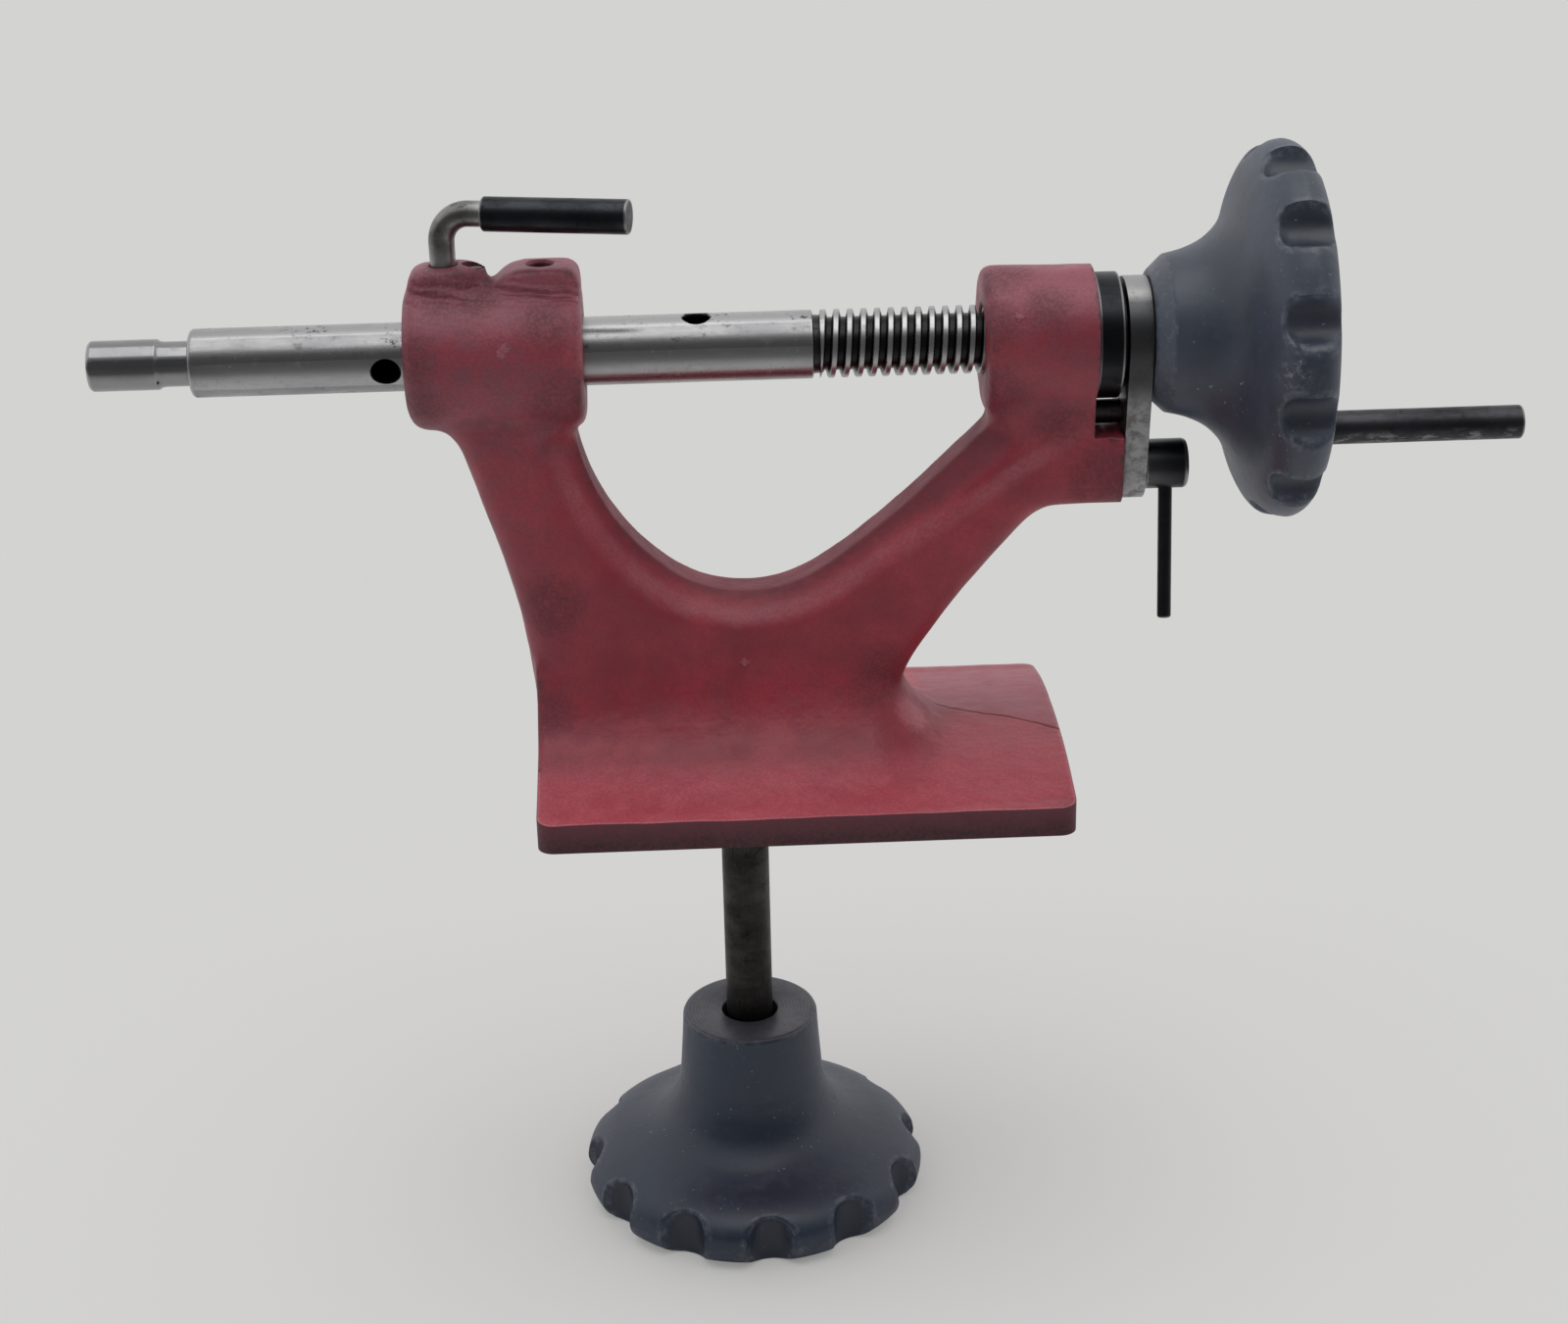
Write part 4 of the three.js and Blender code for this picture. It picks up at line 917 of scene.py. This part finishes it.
wheel_paint, shader, place, colour = wheel_enamel("wheel_paint", deep="323b48", pale="3d4757")
x = place.part("X")
flecks = place.spots(2.2, 5, 0.75, shift=(4, 4, 0)).between(0.50, 0.66)
worn_hub = (1 - x.between(108.0, 108.8)) * (0.25 + flecks * 0.4)
colour = worn_hub.blend(colour, tint("6d747e"))
bald = (1 - (place.apart((136.0, -52, 139.0)) + flecks * 6).between(4, 11)) * flecks
feed(shader, Base_Color=(bald * 0.8).blend(colour, tint("8e9196")))
finished(handwheel, wheel_paint, "handwheel", ["handwheel"], crease=50)

wheel_feather = piece_of("wheel_feather", block((111.8, -2, 148.2), (129.8, 2, 152.3), 0.3))
edge_marks(wheel_feather, 0)
finished(wheel_feather, grey_steel, "handwheel", ["wheel_key"])

ring_nut = piece_of("ring_nut_slotted", rod(17.5, 142.3, 147.8, edge=0.7, steps=96))
slots = []
for quarter in range(4):
    cutter = block((145.6, -2.0, SPINDLE_HEIGHT + 14.6), (150, 2.0, SPINDLE_HEIGHT + 20))
    quarter_turn = Matrix.Rotation(math.radians(45 + 90 * quarter), 3, "X")
    bmesh.ops.rotate(cutter, cent=SPINDLE, matrix=quarter_turn, verts=cutter.verts)
    slots.append(cutter)
carve(ring_nut, "DIFFERENCE", rod(12.6, 140, 150), *slots)
edge_marks(ring_nut, 1)
finished(ring_nut, black_steel, "handwheel", ["wheel_ring_nut"])

crank_end = CRANK_START + CRANK_LENGTH
crank = piece_of("crank_bar", rod(5.15, CRANK_START, crank_end, ALONG, crank_at, edge=0.8, steps=64))
edge_marks(crank, 0)
crank_steel, shader, place, colour = steel(
    "crank_steel", "525255", "2b2c2f", 0.38, pits=1.0, stretch=(0.08, 1, 1)
)
low = 1 - (place.part("Z") - crank_at.z).between(-2.5, 1.0)
# Pale spots, only on the lower half of the bar.
pale_low_spots = place.spots(3.0, 5, 0.75, stretch=(0.35, 1, 1), shift=(0, 7, 0)).between(0.50, 0.60) * low
feed(shader, Base_Color=(pale_low_spots * 0.7).blend(colour, tint("8f8e8c")))
finished(crank, crank_steel, "handwheel", ["crank_handle"])

# ======================================================================================
# Quill lock. A bent steel rod screws into the front lug and presses a brass pad on the
# quill. A black sleeve on its end is the grip, and a slotted grub screw sits beside it.
# ======================================================================================
turn_out = math.radians(12)
lever_way = Vector((math.cos(turn_out), -math.sin(turn_out), 0))
lever_side = lever_way.cross(UP)
LEVER_FOOT, LEVER_RISE, BEND = 14.2, 42.2, 8.5
lever_top = Vector((LEVER_AXIS.x, 0, SPINDLE_HEIGHT + LEVER_RISE))
lever = bmesh.new()
bmesh.ops.create_circle(lever, segments=48, radius=3.75)
lever_foot = (LEVER_AXIS.x, 0, SPINDLE_HEIGHT + LEVER_FOOT)
bmesh.ops.translate(lever, vec=lever_foot, verts=lever.verts)


def drawn(bm, loop, move):
    """The loop of edges drawn out straight; gives the new loop."""
    edges = [part for part in loop if isinstance(part, bmesh.types.BMEdge)]
    grown = bmesh.ops.extrude_edge_only(bm, edges=edges)["geom"]
    verts = [part for part in grown if isinstance(part, bmesh.types.BMVert)]
    bmesh.ops.translate(bm, vec=move, verts=verts)
    return [part for part in grown if not isinstance(part, bmesh.types.BMFace)]


loop = drawn(lever, lever.verts[:] + lever.edges[:], UP * (LEVER_RISE - LEVER_FOOT - BEND))
bend_centre = lever_top - UP * BEND + lever_way * BEND
loop = bmesh.ops.spin(
    lever, geom=loop, cent=bend_centre, axis=-lever_side, angle=math.pi / 2, steps=16
)["geom_last"]
drawn(lever, loop, lever_way * (30.8 - BEND))
bmesh.ops.remove_doubles(lever, verts=lever.verts, dist=1e-3)
bmesh.ops.holes_fill(lever, edges=[e for e in lever.edges if e.is_boundary], sides=0)
bmesh.ops.recalc_face_normals(lever, faces=lever.faces)
lever_rod = piece_of("lever_rod", lever)
edge_marks(lever_rod, 0)
lever_steel = steel("lever_steel", "a19f9b", "4b4948", 0.28, pits=1.0, stretch=(1, 1, 0.3))[0]
finished(lever_rod, lever_steel, "lock_lever", ["lock_lever"])

grip = piece_of("grip_sleeve", rod(5, 12.8, 55.7, lever_way, lever_top, edge=0.6, steps=64))
carve(grip, "DIFFERENCE", rod(4.05, 10, 31.1, lever_way, lever_top, steps=48))
edge_marks(grip, 0)
grip_steel = steel("grip_steel", "424347", "1d1e20", 0.32, pits=1.0, stretch=(0.3, 1, 1))[0]
finished(grip, grip_steel, "lock_lever", ["lever_grip"])

pad = piece_of("brass_pad", rod(3.5, 146.9, 150.5, UP, LEVER_AXIS, edge=0.3, steps=40))
edge_marks(pad, 0)
pad_brass = steel("pad_brass", "b49357", "8d7040", 0.32, pits=0.3)[0]
finished(pad, pad_brass, "frame", ["lock_pad"])

grub_form = [(154.4, 0), (154.4, 2.4), (155.0, 3), (161.9, 3), (162.4, 2.5), (162.4, 0)]
grub = piece_of("grub_slotted", turned(grub_form, UP, GRUB_AXIS, 40))
carve(grub, "DIFFERENCE", block((-97, -0.5, 160.8), (-87, 0.5, 164)))
edge_marks(grub, 0)
finished(grub, grey_steel, "frame", ["grub_screw"])

# ======================================================================================
# Clamp. A black bar screwed into the base goes down between the bed's ways. Its threaded
# end takes a second scalloped wheel with a longer hub, lined with a steel bush.
# ======================================================================================
STUD_END, STUD_RADIUS = -138.5, 7.45
STUD_PITCH, STUD_CREST, STUD_ROOT = 2.0, 7.95, 6.9
stud_form = [(STUD_END, 0), (STUD_END, 6.6), (STUD_END + 0.9, 7.5)]
ridge = STUD_END + 1.0
while ridge < -96:
    stud_form += [(ridge + 0.55, STUD_CREST), (ridge + 0.85, STUD_CREST)]
    stud_form += [(ridge + 1.7, STUD_ROOT), (ridge + STUD_PITCH, STUD_ROOT)]
    ridge += STUD_PITCH
stud_form += [
    (-94.4, 7.0), (-93.6, 7.3), (-93.2, STUD_RADIUS), (-0.6, STUD_RADIUS), (0, STUD_CREST),
    (29, STUD_CREST), (30, 6.95), (30, 0),
]
stud = piece_of("clamp_stud_bar", turned(stud_form, UP, STUD_AXIS, 64))
edge_marks(stud, 0)
stud_steel = steel("stud_steel", "4c4a48", "2a2827", 0.44, pits=1.0, stretch=(1, 1, 0.08))[0]
finished(stud, stud_steel, "frame", ["clamp_stud"])

KNOB_TOP = Vector((STUD_AXIS.x, 0, -85.9))
HUB_EXTRA = 17.5
knob_form = [
    (0, 0), (0, 20.4), (0.12, 20.9), (0.45, 21.35), (1.2, 21.7), (8, 22.1), (HUB_EXTRA, 22.8),
    *[(along + HUB_EXTRA, radius) for along, radius in flank_and_face()],
]
wheel = scalloped(knob_form, -UP, KNOB_TOP, first_scoop=-4, hub_extra=HUB_EXTRA)
knob = piece_of("clamp_knob_cast", wheel)
carve(
    knob,
    "DIFFERENCE",
    turned([(-1, 0), (-1, 10.2), (0.4, 8.9), (60, 8.9), (60, 0)], -UP, KNOB_TOP, 64),
    rod(12.3, 27.4, 60, -UP, KNOB_TOP),
)
edge_marks(knob, 1)
knob_paint, shader, place, colour = wheel_enamel("knob_paint", deep="19283b", pale="203044")
hub_face = place.part("Z").between(KNOB_TOP.z - 0.9, KNOB_TOP.z - 0.3)
from_stud = place.apart((STUD_AXIS.x + 0.8, 0, KNOB_TOP.z))
rings = (from_stud * 5.5).sine()
feed(shader, Base_Color=(hub_face * (0.55 + rings * 0.25)).blend(colour, tint("5d6066")))
finished(knob, knob_paint, "clamp_knob", ["clamp_knob"], crease=50)

bush = piece_of("bush_threaded", rod(12, 27.7, 55.7, -UP, KNOB_TOP, edge=0.4, steps=64))
bush_bore = [(20, 0), (20, 8.25), (54.9, 8.25), (56, 9.3), (56, 0)]
carve(bush, "DIFFERENCE", turned(bush_bore, -UP, KNOB_TOP, 64))
edge_marks(bush, 0)
finished(bush, grey_steel, "knob_bush", ["knob_bush"])

# ======================================================================================
# Stage. A pale paper floor, one wide soft lamp overhead, a tent of even light that is darker
# in front, and the camera.
# ======================================================================================
BACKGROUND = "d3d3d1"
FLOOR_HEIGHT, FLOOR_REACH = -0.1497, 40  # from here on in metres
floor_mesh = bmesh.new()
bmesh.ops.create_grid(floor_mesh, x_segments=1, y_segments=1, size=FLOOR_REACH)
bmesh.ops.translate(floor_mesh, vec=(0, 0, FLOOR_HEIGHT), verts=floor_mesh.verts)
floor = piece_of("paper_floor", floor_mesh)
paper, shader, place = new_finish("paper", Roughness=0.9, Specular_IOR_Level=0.15)
shader.inputs["Base Color"].default_value = tint("ebeae8")
path = place.node("LightPath", out="Is Camera Ray")
mirrored = place.node("LightPath", out="Is Glossy Ray")
ahead = place.part("Y").between(-750, -60)
dim = place.node("BsdfDiffuse", {}, {"Color": ahead.blend(tint("7c7c7c"), tint("e6e6e6"))})
even = place.node("Emission", {}, {"Color": tint(BACKGROUND), "Strength": 1.0})
away = (0.35 + place.apart((-20, 0, -150)).between(60, 600) * 0.65) * path
shown = place.node("MixShader", {}, {0: away, 1: Wire(place.tree, shader.outputs[0]), 2: even})
shown = place.node("MixShader", {}, {0: mirrored, 1: shown, 2: dim})
place.tree.links.new(shown.socket, paper.node_tree.nodes["Material Output"].inputs["Surface"])
floor.data.materials.append(paper)

lamp = bpy.data.lights.new("overhead", "AREA")
lamp.shape, lamp.size, lamp.energy = "SQUARE", 1.4, 6.0
lamp_at, lamp_aim = Vector((0.0, -0.20, 1.60)), Vector((0, 0, 0.1))
overhead = bpy.data.objects.new("overhead", lamp)
overhead.location = lamp_at
overhead.rotation_mode = "QUATERNION"
overhead.rotation_quaternion = (lamp_aim - lamp_at).to_track_quat("-Z", "Y")
bpy.context.scene.collection.objects.link(overhead)

world = bpy.data.worlds.new("studio")
bpy.context.scene.world = world
world.use_nodes = True
way = Wire(world.node_tree).node("TexCoord", out="Generated")
in_front = (way.part("Y") * -1 - way.part("Z") * 0.8).between(-0.35, 0.35)
seen = way.node("LightPath", out="Is Camera Ray")
back = world.node_tree.nodes["Background"]
tent = seen.blend(in_front.blend(tint("e4e4e6"), tint("606062")), tint(BACKGROUND))
world.node_tree.links.new(tent.socket, back.inputs["Color"])
back.inputs["Strength"].default_value = 1.0

camera_data = bpy.data.cameras.new("camera")
camera_data.sensor_width = 36
camera_data.lens = 61.85
camera_data.clip_end = 200
CAMERA_AT = (-0.02932, -0.76247, 0.36026)
camera = bpy.data.objects.new("camera", camera_data)
bpy.context.scene.collection.objects.link(camera)
pitch, yaw, roll = math.radians(23.051), math.radians(1.82), math.radians(-1.279)
forward = Vector((math.cos(pitch) * math.sin(yaw), math.cos(pitch) * math.cos(yaw), -math.sin(pitch)))
level = Vector((math.cos(yaw), -math.sin(yaw), 0))
upright = level.cross(forward)
right = level * math.cos(roll) + upright * math.sin(roll)
top = upright * math.cos(roll) - level * math.sin(roll)
aim = Matrix((right, top, -forward)).transposed().to_4x4()
camera.matrix_world = Matrix.Translation(CAMERA_AT) @ aim
bpy.context.scene.camera = camera
bpy.context.scene.view_settings.view_transform = "Standard"
